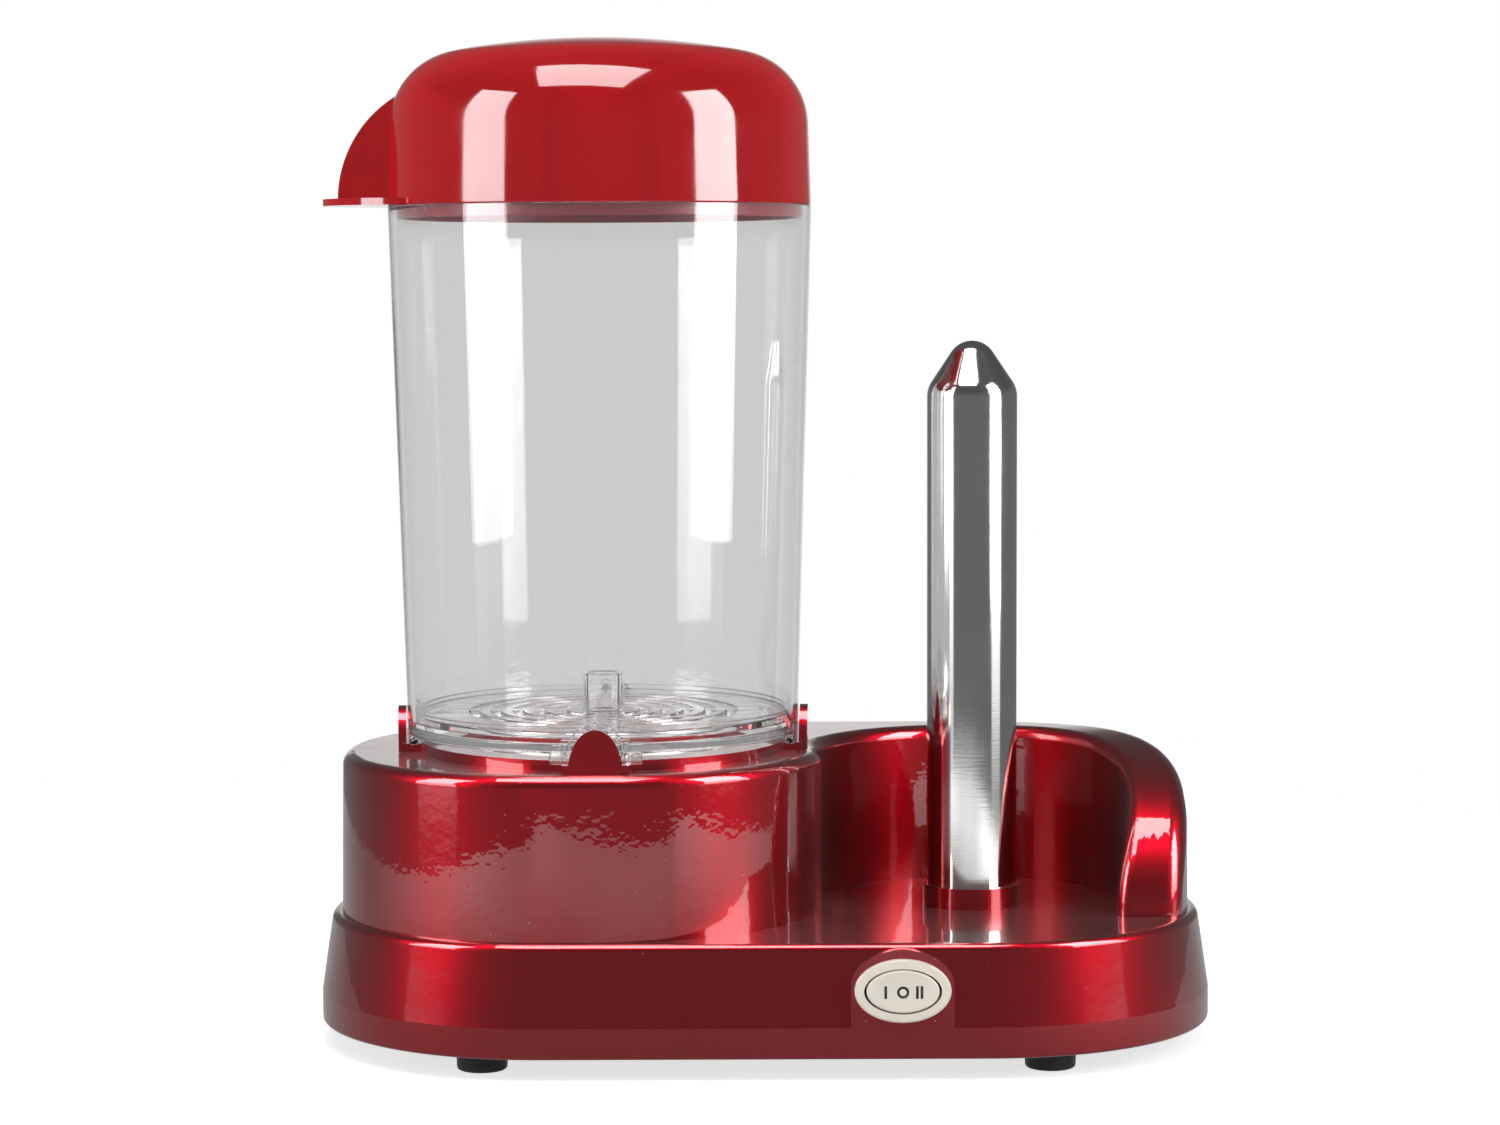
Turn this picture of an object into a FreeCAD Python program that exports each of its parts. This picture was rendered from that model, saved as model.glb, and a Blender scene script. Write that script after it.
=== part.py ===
"""Hot dog steamer: a plinth with a boiler housing, a clear container with a lid, and one heated bread spike.

Frame: +Z up, origin at the centre of the footprint on the table, front of the steamer towards -Y.
Every size is a cell of the sheet "Size", in millimetres or degrees.
"""
import FreeCAD, Part
import math
import os
import Sketcher

Vector = FreeCAD.Vector
Rotation = FreeCAD.Rotation

doc = FreeCAD.newDocument("hot_dog_steamer")
sheet = doc.addObject("Spreadsheet::Sheet", "Size")

SIZES = [
    # Layout, from which the outline of both mouldings follows
    ("container_foot_radius", 63.9, "outside radius of the container at its feet"),
    ("axis_spacing", 121.2, "from the boiler's axis to the bread spike's axis"),
    ("recess_radius", 51.5, "round bread recess"),
    ("bread_wall", 19.3, "curved wall round the recess at its thinnest"),
    ("boiler_margin", 86.0, "from the boiler's axis to the housing's left end"),
    ("end_flat", 4.0, "straight stretch at each rounded end"),
    # Plinth, the lower moulding
    ("rim_height", 7.0, "lower edge above the table"),
    ("band_rise", 10.0, "upright band above the lower edge"),
    ("slope_rise", 25.7, "slope above the band"),
    ("plinth_slope", 3.8, "how far the slope leans in"),
    ("plinth_top_round", 2.5, "round along the top edge"),
    ("plinth_rim_round", 1.2, "round along the lower edge"),
    ("shell_wall", 2.5, "wall of both mouldings"),
    ("boss_radius", 4.0, "screw bosses of the plinth"),
    ("boss_from_end", 28.0, "outer plinth bosses from the plinth's ends"),
    ("boss_from_side", 43.0, "outer plinth bosses from the plinth's sides"),
    ("middle_boss_x", 2.0, "middle plinth bosses from the centre"),
    ("middle_boss_from_side", 12.0, "middle plinth bosses from the plinth's sides"),
    ("pilot_radius", 1.2, "pilot hole for a thread-forming screw"),
    ("screw_hole_radius", 1.7, "clearance hole for a screw"),
    # Upper housing
    ("housing_rise", 52.3, "flat top above the bread floor"),
    ("housing_step", 3.0, "step from the plinth's slope to the housing"),
    ("housing_draft", 0.7, "how far the housing's sides lean in"),
    ("housing_roof", 3.0, "thickness of the flat top"),
    ("housing_round", 4.0, "round along the top edges"),
    ("arm_round", 6.0, "larger round outside the right end"),
    ("side_curve", 73.0, "radius of the housing's front right side"),
    ("arm_front", 29.0, "front end of the right arm, towards the front"),
    ("arm_back", 50.0, "where the right arm starts to fall, towards the back"),
    ("arm_roof", 9.0, "thickness over the hollow of the curved wall"),
    ("ring_gap", 1.5, "between the raised ring and the container"),
    ("ring_width", 10.0, "raised ring round the boiler opening"),
    ("ring_rise", 3.4, "raised ring above the flat top"),
    ("pad_rise", 2.6, "pads that carry the container, above the flat top"),
    ("pad_width", 21.0, "width of each pad"),
    ("tongue_gap", 0.8, "between a clip tongue and the container"),
    ("tongue_thickness", 2.6, "thickness of a tongue"),
    ("tongue_half_width", 8.65, "half width of a tongue at its root"),
    ("tongue_height", 14.0, "height of a tongue over the flat top"),
    ("housing_boss_radius", 3.5, "screw bosses of the housing"),
    ("housing_boss_gap", 0.5, "between the bosses and the boiler's clamp ring"),
    ("arm_boss_y", 8.0, "boss in the right arm from the centre line"),
    ("housing_screw_length", 12.0, "screws that join the two mouldings"),
    # Bottom plate and feet
    ("plate_thickness", 2.5, "bottom plate"),
    ("plate_recess", 1.0, "plate above the rim"),
    ("plate_gap", 0.7, "gap round the plate"),
    ("head_radius", 2.8, "screw heads"),
    ("head_height", 1.6, "screw heads"),
    ("drive_length", 3.0, "cross slots in the screw heads"),
    ("drive_width", 0.8, "cross slots in the screw heads"),
    ("screw_radius", 1.15, "screw shanks"),
    ("head_clearance", 0.5, "round a screw head"),
    ("counterbore_depth", 1.2, "in the plate for the screw heads"),
    ("bottom_screw_length", 14.0, "screws that hold the plate"),
    ("foot_radius", 8.3, "rubber feet"),
    ("foot_taper", 0.3, "how far a foot narrows to the table"),
    ("foot_from_end", 56.0, "feet from the plinth's ends"),
    ("foot_from_side", 21.6, "feet from the plinth's sides"),
    ("foot_stud", 2.5, "stud of a foot in the plate"),
    ("foot_barb", 3.3, "barb of the stud above the plate"),
    ("foot_barb_height", 2.5, "barb of the stud"),
    ("stud_clearance", 0.1, "round the stud"),
    ("vent_length", 30.0, "vent slots"),
    ("vent_width", 3.0, "vent slots"),
    ("vent_pitch", 7.0, "vent slots"),
    ("vent_count", 7, "vent slots in a row"),
    # Switch
    ("switch_from_spike", 25.9, "switch to the left of the spike's axis"),
    ("switch_rise", 21.8, "switch above the plinth's lower edge"),
    ("boss_half_width", 16.0, "raised boss behind the switch"),
    ("boss_half_height", 11.2, "upper half of the boss"),
    ("boss_above_switch", 1.4, "where the boss's arch springs, above the switch"),
    ("boss_below_band", 2.0, "foot of the boss below the top of the band"),
    ("boss_depth", 7.5, "how far the boss reaches back into the slope"),
    ("bezel_half_width", 15.0, "oval bezel"),
    ("bezel_half_height", 9.9, "oval bezel"),
    ("bezel_proud", 2.2, "bezel in front of the boss"),
    ("bezel_round", 0.8, "round of the bezel's front edge"),
    ("barrel_wall", 1.6, "wall of the barrel behind the bezel"),
    ("barrel_length", 13.0, "barrel behind the bezel"),
    ("rocker_half_width", 11.3, "oval rocker"),
    ("rocker_half_height", 6.7, "oval rocker"),
    ("rocker_gap_side", 0.75, "gap at the rocker's ends, for its swing"),
    ("rocker_gap_edge", 0.35, "gap along the rocker"),
    ("rocker_proud", 0.4, "rocker face in front of the bezel"),
    ("rocker_pivot_depth", 3.5, "pivot behind the rocker's face"),
    ("rocker_skirt", 3.0, "rocker behind its pivot"),
    ("rocker_pin", 1.1, "radius of the rocker's pins"),
    ("pin_clearance", 0.05, "round the rocker's pins"),
    ("pin_engagement", 1.2, "length of each pin in the barrel"),
    ("switch_plug", 4.0, "switch body inside the barrel"),
    ("switch_rim", 1.5, "rim of the switch body behind the barrel"),
    ("switch_body_width", 20.0, "switch body"),
    ("switch_body_height", 11.6, "switch body"),
    ("switch_body_depth", 12.0, "switch body behind its rim"),
    ("blade_width", 4.8, "terminal blades"),
    ("blade_thickness", 0.8, "terminal blades"),
    ("blade_length", 7.0, "terminal blades"),
    ("blade_pitch", 6.5, "terminal blades"),
    ("fit_clearance", 0.15, "between mouldings that fit into each other"),
    # Boiler
    ("seal_thickness", 2.0, "silicone seal under the housing's top"),
    ("seal_inset", 0.5, "seal outside the boiler opening"),
    ("dish_sheet", 1.2, "steel of the dish"),
    ("dish_inset", 3.0, "dish inside the boiler opening"),
    ("dish_lip", 6.0, "dish flange outside the boiler opening"),
    ("dish_depth", 14.0, "water space under the flange"),
    ("dish_bevel", 4.0, "bevel between the dish's wall and bottom"),
    ("clamp_ring_thickness", 1.5, "clamp ring under the flange"),
    ("clamp_ring_edge", 2.0, "clamp ring outside its screws"),
    ("clamp_boss_radius", 2.6, "bosses for the clamp ring"),
    ("clamp_boss_gap", 1.4, "between these bosses and the dish flange"),
    ("clamp_screw_length", 6.5, "screws of the clamp ring"),
    ("spreader_inset", 5.0, "aluminium heater plate inside the dish's wall"),
    ("spreader_thickness", 4.0, "aluminium heater plate"),
    ("element_inset", 12.0, "bend of the sheathed element inside the heater plate's edge"),
    ("element_tube", 3.25, "radius of the sheathed element"),
    ("element_turn", 300.0, "how far the element goes round"),
    ("element_tail", 9.0, "straight ends of the element"),
    ("element_pin", 4.0, "connecting pins of the element"),
    ("thermostat_radius", 8.0, "thermostat can"),
    ("thermostat_height", 9.0, "thermostat can"),
    ("thermostat_strap", 22.0, "strap of the thermostat"),
    ("thermostat_blade", 6.0, "blades of the thermostat"),
    ("fuse_radius", 2.0, "thermal fuse"),
    ("fuse_length", 12.0, "thermal fuse"),
    ("fuse_y", 17.0, "thermal fuse from the axis"),
    ("fuse_saddle", 1.0, "sheet of the fuse's saddle"),
    ("fuse_saddle_width", 5.0, "saddle along the fuse"),
    ("fuse_saddle_wing", 5.0, "wings of the saddle"),
    # Bread spike
    ("spike_radius", 14.8, "bread spike"),
    ("spike_wall", 1.0, "steel of the spike"),
    ("spike_rise", 185.5, "tip above the bread floor"),
    ("spike_tip_round", 8.2, "round of the tip"),
    ("spike_tip_angle", 34.0, "half angle of the cone"),
    ("spike_shoulder_round", 9.0, "round between tube and cone"),
    ("spike_flange_width", 4.2, "flange under the bread floor"),
    ("spike_flange_thickness", 1.5, "flange under the bread floor"),
    ("collar_wall", 1.05, "collar on the bread floor"),
    ("collar_height", 6.9, "collar on the bread floor"),
    ("spike_clamp_width", 16.0, "steel bar under the flange"),
    ("spike_clamp_thickness", 2.0, "steel bar under the flange"),
    ("spike_boss_radius", 3.6, "bosses for the bar"),
    ("spike_boss_gap", 2.4, "between these bosses and the flange"),
    ("insulator_height", 8.0, "ceramic foot and cap of the cartridge"),
    ("insulator_gap", 0.25, "between the ceramic and the tube"),
    ("cartridge_radius", 6.0, "heating cartridge in the spike"),
    ("cartridge_length", 140.0, "heating cartridge in the spike"),
    ("cartridge_seat", 3.0, "cartridge inside each ceramic"),
    # Container, tray and lid
    ("container_flare", 4.9, "how much wider the container is at its shoulder"),
    ("container_height", 174.9, "shoulder that carries the lid, above the pads"),
    ("container_wall", 2.4, "clear wall"),
    ("container_leg", 29.4, "width of each leg"),
    ("container_leg_height", 3.4, "legs below the skirt"),
    ("neck_step", 1.5, "shoulder outside the neck"),
    ("neck_height", 4.8, "neck above the shoulder"),
    ("neck_wall", 1.1, "neck"),
    ("neck_bevel", 2.0, "bevel inside, under the neck"),
    ("ledge_rise", 8.0, "ledge that carries the tray, above the pads"),
    ("ledge_width", 3.0, "ledge that carries the tray"),
    ("ledge_thickness", 1.8, "ledge that carries the tray"),
    ("ledge_bevel", 2.0, "bevel under the ledge"),
    ("tray_gap", 0.4, "between tray and container"),
    ("tray_thickness", 2.0, "perforated tray"),
    ("tray_rim_width", 1.6, "upstand round the tray"),
    ("tray_rim_height", 1.5, "upstand round the tray"),
    ("tray_post_radius", 7.2, "centre post"),
    ("tray_post_wall", 2.4, "wall of the hollow centre post"),
    ("tray_post_height", 12.2, "centre post above the tray"),
    ("tray_margin", 17.3, "outermost slot ring from the tray's edge"),
    ("tray_slot_width", 3.5, "slots"),
    ("tray_slot_pitch", 7.1, "from one slot ring to the next"),
    ("tray_slot_rings", 5, "slot rings"),
    ("tray_spoke", 5.0, "width of the spokes"),
    ("lid_height", 53.9, "crown above the rim"),
    ("lid_crown", 265.0, "radius of the crown"),
    ("lid_shoulder", 24.5, "round between crown and side"),
    ("lid_draft", 1.7, "how far the lid's side leans in up to the crown"),
    ("lid_wall", 2.5, "wall of the lid"),
    ("lid_neck_gap", 0.3, "round the container's neck"),
    ("lid_ring_width", 1.4, "locating ring inside the neck"),
    ("lid_ring_drop", 4.0, "locating ring below the rim"),
    ("lid_step_height", 9.0, "thicker rim inside the lid"),
    ("lid_step_bevel", 2.0, "bevel above the thicker rim"),
    ("fin_centre", 45.5, "centre of the fin's round edge from the axis"),
    ("fin_radius", 39.7, "round edge of the fin"),
    ("fin_rise", 1.6, "centre of the fin's round edge above the rim"),
    ("fin_thickness", 2.5, "handle fin"),
    ("flange_centre", 56.0, "centre of the thumb flange from the axis"),
    ("flange_radius", 34.0, "thumb flange"),
    ("flange_thickness", 2.2, "thumb flange"),
    # Mains entry
    ("gland_x", 20.0, "cord gland from the centre"),
    ("gland_rise", 15.0, "cord gland above the plinth's lower edge"),
    ("gland_pad_radius", 11.0, "flat pad on the back of the plinth"),
    ("gland_bore", 3.4, "bore for the cord"),
    ("gland_wall", 3.6, "wall of the gland's barrel"),
    ("gland_lip", 2.5, "flange of the gland outside its barrel"),
    ("gland_proud", 2.6, "flange outside the pad"),
    ("gland_length", 9.0, "barrel inside"),
    ("clamp_from_back", 25.0, "cord clamp from the plinth's back"),
    ("clamp_width", 26.0, "cord clamp"),
    ("clamp_length", 9.0, "cord clamp along the cord"),
    ("clamp_height", 6.0, "cord clamp saddle"),
    ("clamp_screw_x", 8.8, "screws of the cord clamp from the cord"),
    ("clamp_fixing_length", 10.0, "screws of the cord clamp"),
    ("block_from_back", 47.0, "terminal block from the plinth's back"),
    ("block_width", 30.0, "terminal block"),
    ("block_length", 17.0, "terminal block"),
    ("block_height", 13.0, "terminal block"),
    ("block_pitch", 9.0, "ways of the terminal block"),
    ("block_ways", 3, "ways of the terminal block"),
    ("block_bore", 1.9, "wire holes of the terminal block"),
    ("block_bore_rise", 4.3, "wire holes above the bottom plate"),
    ("block_screw_radius", 1.9, "terminal screws"),
    ("block_screw_height", 3.0, "terminal screws"),
    ("block_screw_sink", 0.8, "terminal screws below the block's top"),
    ("wire_radius", 1.1, "insulated inner wires"),
    ("wire_bend", 10.0, "step in which the wires' routes are laid out"),
]

for row, (alias, number, note) in enumerate(SIZES, start=1):
    sheet.set(f"A{row}", note)
    sheet.set(f"B{row}", str(number))
    sheet.setAlias(f"B{row}", alias)
doc.recompute()

nodes = []


def value(formula):
    """The number that a formula in the sheet's names gives."""
    return float(sheet.evalExpression(formula))


def bind(thing, formulas):
    """Ties properties of an object to formulas in the sheet's names."""
    for path, formula in formulas.items():
        thing.setExpression(path, formula)
    return thing


def place(thing, x="0", y="0", z="0"):
    """Ties an object's position to formulas."""
    return bind(thing, {"Placement.Base.x": x, "Placement.Base.y": y, "Placement.Base.z": z})


def node(thing, label):
    """Marks an object as a finished sub-part with its own name."""
    thing.Label = label
    nodes.append(thing)
    return thing


ALONG = {
    "x": Rotation(Vector(0, 1, 0), 90),
    "y": Rotation(Vector(1, 0, 0), -90),
    "z": Rotation(),
}


def cylinder(name, radius, length, x="0", y="0", z="0", along="z"):
    """A cylinder from (x, y, z) along one axis."""
    rod = doc.addObject("Part::Cylinder", name)
    rod.Placement = FreeCAD.Placement(Vector(), ALONG[along])
    bind(rod, {"Radius": radius, "Height": length})
    return place(rod, x, y, z)


def box(name, width, depth, height, x="0", y="0", z="0"):
    """A box that is centred on x and y and stands on z."""
    block = doc.addObject("Part::Box", name)
    bind(block, {"Length": width, "Width": depth, "Height": height})
    return place(block, f"{x} - ({width}) / 2", f"{y} - ({depth}) / 2", z)


def oval(name, half_width, half_height, x, front, z, length):
    """An oval rod along +Y whose oval is half_width in X and half_height in Z."""
    curve = doc.addObject("Part::Ellipse", name + "_curve")
    if value(half_width) >= value(half_height):
        curve.Placement = FreeCAD.Placement(Vector(), Rotation(Vector(1, 0, 0), 90))
        bind(curve, {"MajorRadius": half_width, "MinorRadius": half_height})
    else:
        turn = Rotation(Vector(0, 0, 1), Vector(1, 0, 0), Vector(0, 1, 0), "XYZ")
        curve.Placement = FreeCAD.Placement(Vector(), turn)
        bind(curve, {"MajorRadius": half_height, "MinorRadius": half_width})
    place(curve, x, front, z)
    rod = doc.addObject("Part::Extrusion", name)
    rod.Base = curve
    rod.DirMode = "Custom"
    rod.Dir = Vector(0, 1, 0)
    rod.Solid = True
    return bind(rod, {"LengthFwd": length})


def fuse(name, things):
    joined = doc.addObject("Part::MultiFuse", name)
    joined.Shapes = things
    joined.Refine = True
    return joined


def cut(name, base, tool):
    left = doc.addObject("Part::Cut", name)
    left.Base = base
    left.Tool = tool
    left.Refine = True
    return left


def common(name, base, tool):
    shared = doc.addObject("Part::Common", name)
    shared.Base = base
    shared.Tool = tool
    shared.Refine = True
    return shared


def tube(name, outer, inner, length, x="0", y="0", z="0", along="z"):
    """A ring or sleeve from (x, y, z) along one axis."""
    outside = cylinder(name + "_outside", outer, length, x, y, z, along)
    inside = cylinder(name + "_inside", inner, length, x, y, z, along)
    return cut(name, outside, inside)


def body_at(name, x="0", y="0", z="0"):
    return place(doc.addObject("PartDesign::Body", name), x, y, z)


def sketch_on(body, name, role, offset="0"):
    """A sketch on one of the body's own planes, moved along the plane's normal."""
    sketch = body.newObject("Sketcher::SketchObject", name)
    plane = [feature for feature in body.Origin.OriginFeatures if feature.Role == role][0]
    sketch.AttachmentSupport = (plane, [""])
    sketch.MapMode = "FlatFace"
    sketch.setExpression("AttachmentOffset.Base.z", offset)
    return sketch


def tie_point(sketch, geometry, point, u, v, tag):
    """Ties one point of a sketch to two formulas."""
    for kind, formula, letter in (("DistanceX", u, "u"), ("DistanceY", v, "v")):
        if formula is None:
            continue
        rule = Sketcher.Constraint(kind, -1, 1, geometry, point, value(formula))
        index = sketch.addConstraint(rule)
        sketch.renameConstraint(index, f"{letter}{tag}")
        sketch.setExpression(f"Constraints.{letter}{tag}", formula)


def draw(sketch, edges, tag=""):
    """A closed outline. Each edge is (u, v) where a straight edge starts, or
    (u, v, centre_u, centre_v, "left" or "right") where an arc starts that turns that way."""
    corners = [Vector(value(edge[0]), value(edge[1]), 0) for edge in edges]
    ends = []
    for index, edge in enumerate(edges):
        start = corners[index]
        stop = corners[(index + 1) % len(edges)]
        if len(edge) == 2:
            ends.append((sketch.addGeometry(Part.LineSegment(start, stop), False), 1, 2))
            continue
        centre = Vector(value(edge[2]), value(edge[3]), 0)
        first, last = (start, stop) if edge[4] == "left" else (stop, start)
        begin = math.atan2(first.y - centre.y, first.x - centre.x)
        finish = math.atan2(last.y - centre.y, last.x - centre.x)
        if finish <= begin:
            finish += 2 * math.pi
        circle = Part.Circle(centre, Vector(0, 0, 1), (start - centre).Length)
        arc = sketch.addGeometry(Part.ArcOfCircle(circle, begin, finish), False)
        ends.append((arc, 1, 2) if edge[4] == "left" else (arc, 2, 1))
    for index in range(len(edges)):
        geometry, _, tail = ends[index]
        following, head, _ = ends[(index + 1) % len(edges)]
        sketch.addConstraint(Sketcher.Constraint("Coincident", geometry, tail, following, head))
    for index, edge in enumerate(edges):
        geometry, head, _ = ends[index]
        tie_point(sketch, geometry, head, edge[0], edge[1], f"{tag}_{index}")
        if len(edge) == 2:
            continue
        chord = corners[(index + 1) % len(edges)] - corners[index]
        if abs(chord.y) >= abs(chord.x):
            tie_point(sketch, geometry, 3, edge[2], None, f"{tag}_{index}_centre")
        else:
            tie_point(sketch, geometry, 3, None, edge[3], f"{tag}_{index}_centre")
    return sketch


def circle_on(sketch, u, v, radius, tag=""):
    """A full circle in a sketch, tied to its centre and radius."""
    middle = Vector(value(u), value(v), 0)
    geometry = sketch.addGeometry(Part.Circle(middle, Vector(0, 0, 1), value(radius)), False)
    tie_point(sketch, geometry, 3, u, v, f"{tag}_middle")
    index = sketch.addConstraint(Sketcher.Constraint("Radius", geometry, value(radius)))
    sketch.renameConstraint(index, f"radius{tag}")
    sketch.setExpression(f"Constraints.radius{tag}", radius)
    return sketch


def pad(body, name, sketch, length, taper="0", midplane=False):
    feature = body.newObject("PartDesign::Pad", name)
    feature.Profile = sketch
    feature.SideType = "Symmetric" if midplane else "One side"
    bind(feature, {"Length": length, "TaperAngle": taper})
    doc.recompute()
    return feature


def pocket(body, name, sketch, depth, upwards=False):
    feature = body.newObject("PartDesign::Pocket", name)
    feature.Profile = sketch
    feature.Reversed = upwards
    bind(feature, {"Length": depth})
    doc.recompute()
    return feature


def turned(body, name, edges, kind="PartDesign::Revolution"):
    """A round form, or a round cut, about the body's upright axis, from an outline of radius and height."""
    sketch = draw(sketch_on(body, name + "_outline", "XZ_Plane"), edges)
    feature = body.newObject(kind, name)
    feature.Profile = sketch
    feature.ReferenceAxis = (sketch, ["V_Axis"])
    feature.Angle = 360
    doc.recompute()
    return feature


def edges_where(shape, test):
    """Names of the edges whose every point passes a test."""
    names = []
    for index, edge in enumerate(shape.Edges, start=1):
        if not edge.Degenerated and all(test(point) for point in edge.discretize(5)):
            names.append(f"Edge{index}")
    return names


def rounding(body, name, radius, test):
    """Rounds the edges of a body's last feature that pass a test."""
    base = body.Tip
    feature = body.newObject("PartDesign::Fillet", name)
    feature.Base = (base, edges_where(base.Shape, test))
    feature.setExpression("Radius", radius)
    doc.recompute()
    return feature


def near(number, formula, slack=0.01):
    return abs(number - value(formula)) < slack


def rounded_outline(sketch, half_length, half_depth, radius):
    """A rounded rectangle about the origin."""
    x_in = f"{half_length} - ({radius})"
    y_in = f"{half_depth} - ({radius})"
    return draw(sketch, [
        (f"-({x_in})", f"-({half_depth})"),
        (x_in, f"-({half_depth})", x_in, f"-({y_in})", "left"),
        (half_length, f"-({y_in})"),
        (half_length, y_in, x_in, y_in, "left"),
        (x_in, half_depth),
        (f"-({x_in})", half_depth, f"-({x_in})", y_in, "left"),
        (f"-({half_length})", y_in),
        (f"-({half_length})", f"-({y_in})", f"-({x_in})", f"-({y_in})", "left"),
    ])


def screws(label, places, length):
    """A group of like screws. Each place is the seat of a head; the shank goes up from it."""
    group = []
    for index, (x, y, z) in enumerate(places):
        name = f"{label}_{index}"
        head = cylinder(name + "_head", "Size.head_radius", "Size.head_height", x, y,
                        f"{z} - Size.head_height")
        shank = cylinder(name + "_shank", "Size.screw_radius", length, x, y, z)
        cross = []
        for turn, (wide, deep) in enumerate((("Size.drive_width", "Size.drive_length"),
                                             ("Size.drive_length", "Size.drive_width"))):
            cross.append(box(f"{name}_cross_{turn}", wide, deep, "Size.head_height / 2", x, y,
                             f"{z} - Size.head_height"))
        whole = fuse(name + "_whole", [head, shank])
        group.append(cut(name + "_screw", whole, fuse(name + "_drive", cross)))
    bunch = doc.addObject("Part::Compound", label)
    bunch.Links = group
    return node(bunch, label)


# Places that several pieces share. The origin is the middle of the plinth's outline.
HOUSING_INSET = "(Size.plinth_slope + Size.housing_step)"
HOUSING_LENGTH = "(Size.boiler_margin + Size.axis_spacing + Size.recess_radius + Size.bread_wall)"
HOUSING_HALF_LENGTH = f"({HOUSING_LENGTH} / 2)"
HOUSING_HALF_DEPTH = "(Size.recess_radius + Size.bread_wall)"
HALF_LENGTH = f"({HOUSING_HALF_LENGTH} + {HOUSING_INSET})"
HALF_DEPTH = f"({HOUSING_HALF_DEPTH} + {HOUSING_INSET})"
END_RADIUS = f"({HALF_DEPTH} - Size.end_flat / 2)"
BOILER_X = f"(Size.boiler_margin - {HOUSING_HALF_LENGTH})"
SPIKE_X = f"({BOILER_X} + Size.axis_spacing)"
SWITCH_X = f"({SPIKE_X} - Size.switch_from_spike)"
BAND_TOP = "(Size.rim_height + Size.band_rise)"
FLOOR = f"({BAND_TOP} + Size.slope_rise)"
CEILING = f"({FLOOR} - Size.shell_wall)"
HOUSING_TOP = f"({FLOOR} + Size.housing_rise)"
PAD_TOP = f"({HOUSING_TOP} + Size.pad_rise)"
SHOULDER = f"({PAD_TOP} + Size.container_height)"
SLOPE_ANGLE = "-atan(Size.plinth_slope / Size.slope_rise)"
PLATE_BOTTOM = "Size.rim_height + Size.plate_recess"
PLATE_TOP = f"{PLATE_BOTTOM} + Size.plate_thickness"
PLINTH_BOSSES = [
    (f"Size.boss_from_end - {HALF_LENGTH}", f"Size.boss_from_side - {HALF_DEPTH}"),
    (f"Size.boss_from_end - {HALF_LENGTH}", f"{HALF_DEPTH} - Size.boss_from_side"),
    (f"{HALF_LENGTH} - Size.boss_from_end", f"Size.boss_from_side - {HALF_DEPTH}"),
    (f"{HALF_LENGTH} - Size.boss_from_end", f"{HALF_DEPTH} - Size.boss_from_side"),
    ("Size.middle_boss_x", f"Size.middle_boss_from_side - {HALF_DEPTH}"),
    ("Size.middle_boss_x", f"{HALF_DEPTH} - Size.middle_boss_from_side"),
]
TONGUE_INNER = "(Size.container_foot_radius + Size.tongue_gap)"
RING_OUTSIDE = "(Size.container_foot_radius - Size.container_wall - Size.ring_gap)"
OPENING = f"({RING_OUTSIDE} - Size.ring_width)"
DISH_INNER = f"({OPENING} - Size.dish_inset)"
DISH_FLANGE = f"({OPENING} + Size.dish_lip)"
CLAMP_SCREW_CIRCLE = f"({DISH_FLANGE} + Size.clamp_boss_gap + Size.clamp_boss_radius)"
CLAMP_RING_OUTER = f"({CLAMP_SCREW_CIRCLE} + Size.clamp_ring_edge)"
HOUSING_BOSS_CIRCLE = f"({CLAMP_RING_OUTER} + Size.housing_boss_gap + Size.housing_boss_radius)"
WALL_BOSS_CIRCLE = "(Size.recess_radius + Size.bread_wall / 2)"
HOUSING_BOSSES = [
    (f"{BOILER_X} + {HOUSING_BOSS_CIRCLE} * cos({angle})", f"{HOUSING_BOSS_CIRCLE} * sin({angle})")
    for angle in (-140, 140, -48)
] + [
    (SPIKE_X, WALL_BOSS_CIRCLE),
    (f"{SPIKE_X} + {WALL_BOSS_CIRCLE}", "Size.arm_boss_y"),
]

# Plinth: the lower moulding, an upright band and a slope up to the bread floor.


def plinth_form(name, inset, low, high):
    """The plinth's outside, or its hollow when inset by the wall."""
    body = body_at(name)
    outline = (f"{HALF_LENGTH} - {inset}", f"{HALF_DEPTH} - {inset}", f"{END_RADIUS} - {inset}")
    band = rounded_outline(sketch_on(body, name + "_band_outline", "XY_Plane", low), *outline)
    pad(body, name + "_band", band, f"{BAND_TOP} - ({low})")
    slope = rounded_outline(sketch_on(body, name + "_slope_outline", "XY_Plane", BAND_TOP), *outline)
    pad(body, name + "_slope", slope, f"{high} - {BAND_TOP}", SLOPE_ANGLE)
    return body


plinth_block = plinth_form("plinth_block", "0", "Size.rim_height", FLOOR)
rounding(plinth_block, "plinth_top_edge", "Size.plinth_top_round", lambda p: near(p.z, FLOOR))
rounding(plinth_block, "plinth_rim_edge", "Size.plinth_rim_round", lambda p: near(p.z, "Size.rim_height"))
plinth_hollow = plinth_form("plinth_hollow", "Size.shell_wall", "Size.rim_height - Size.shell_wall", CEILING)

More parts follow.
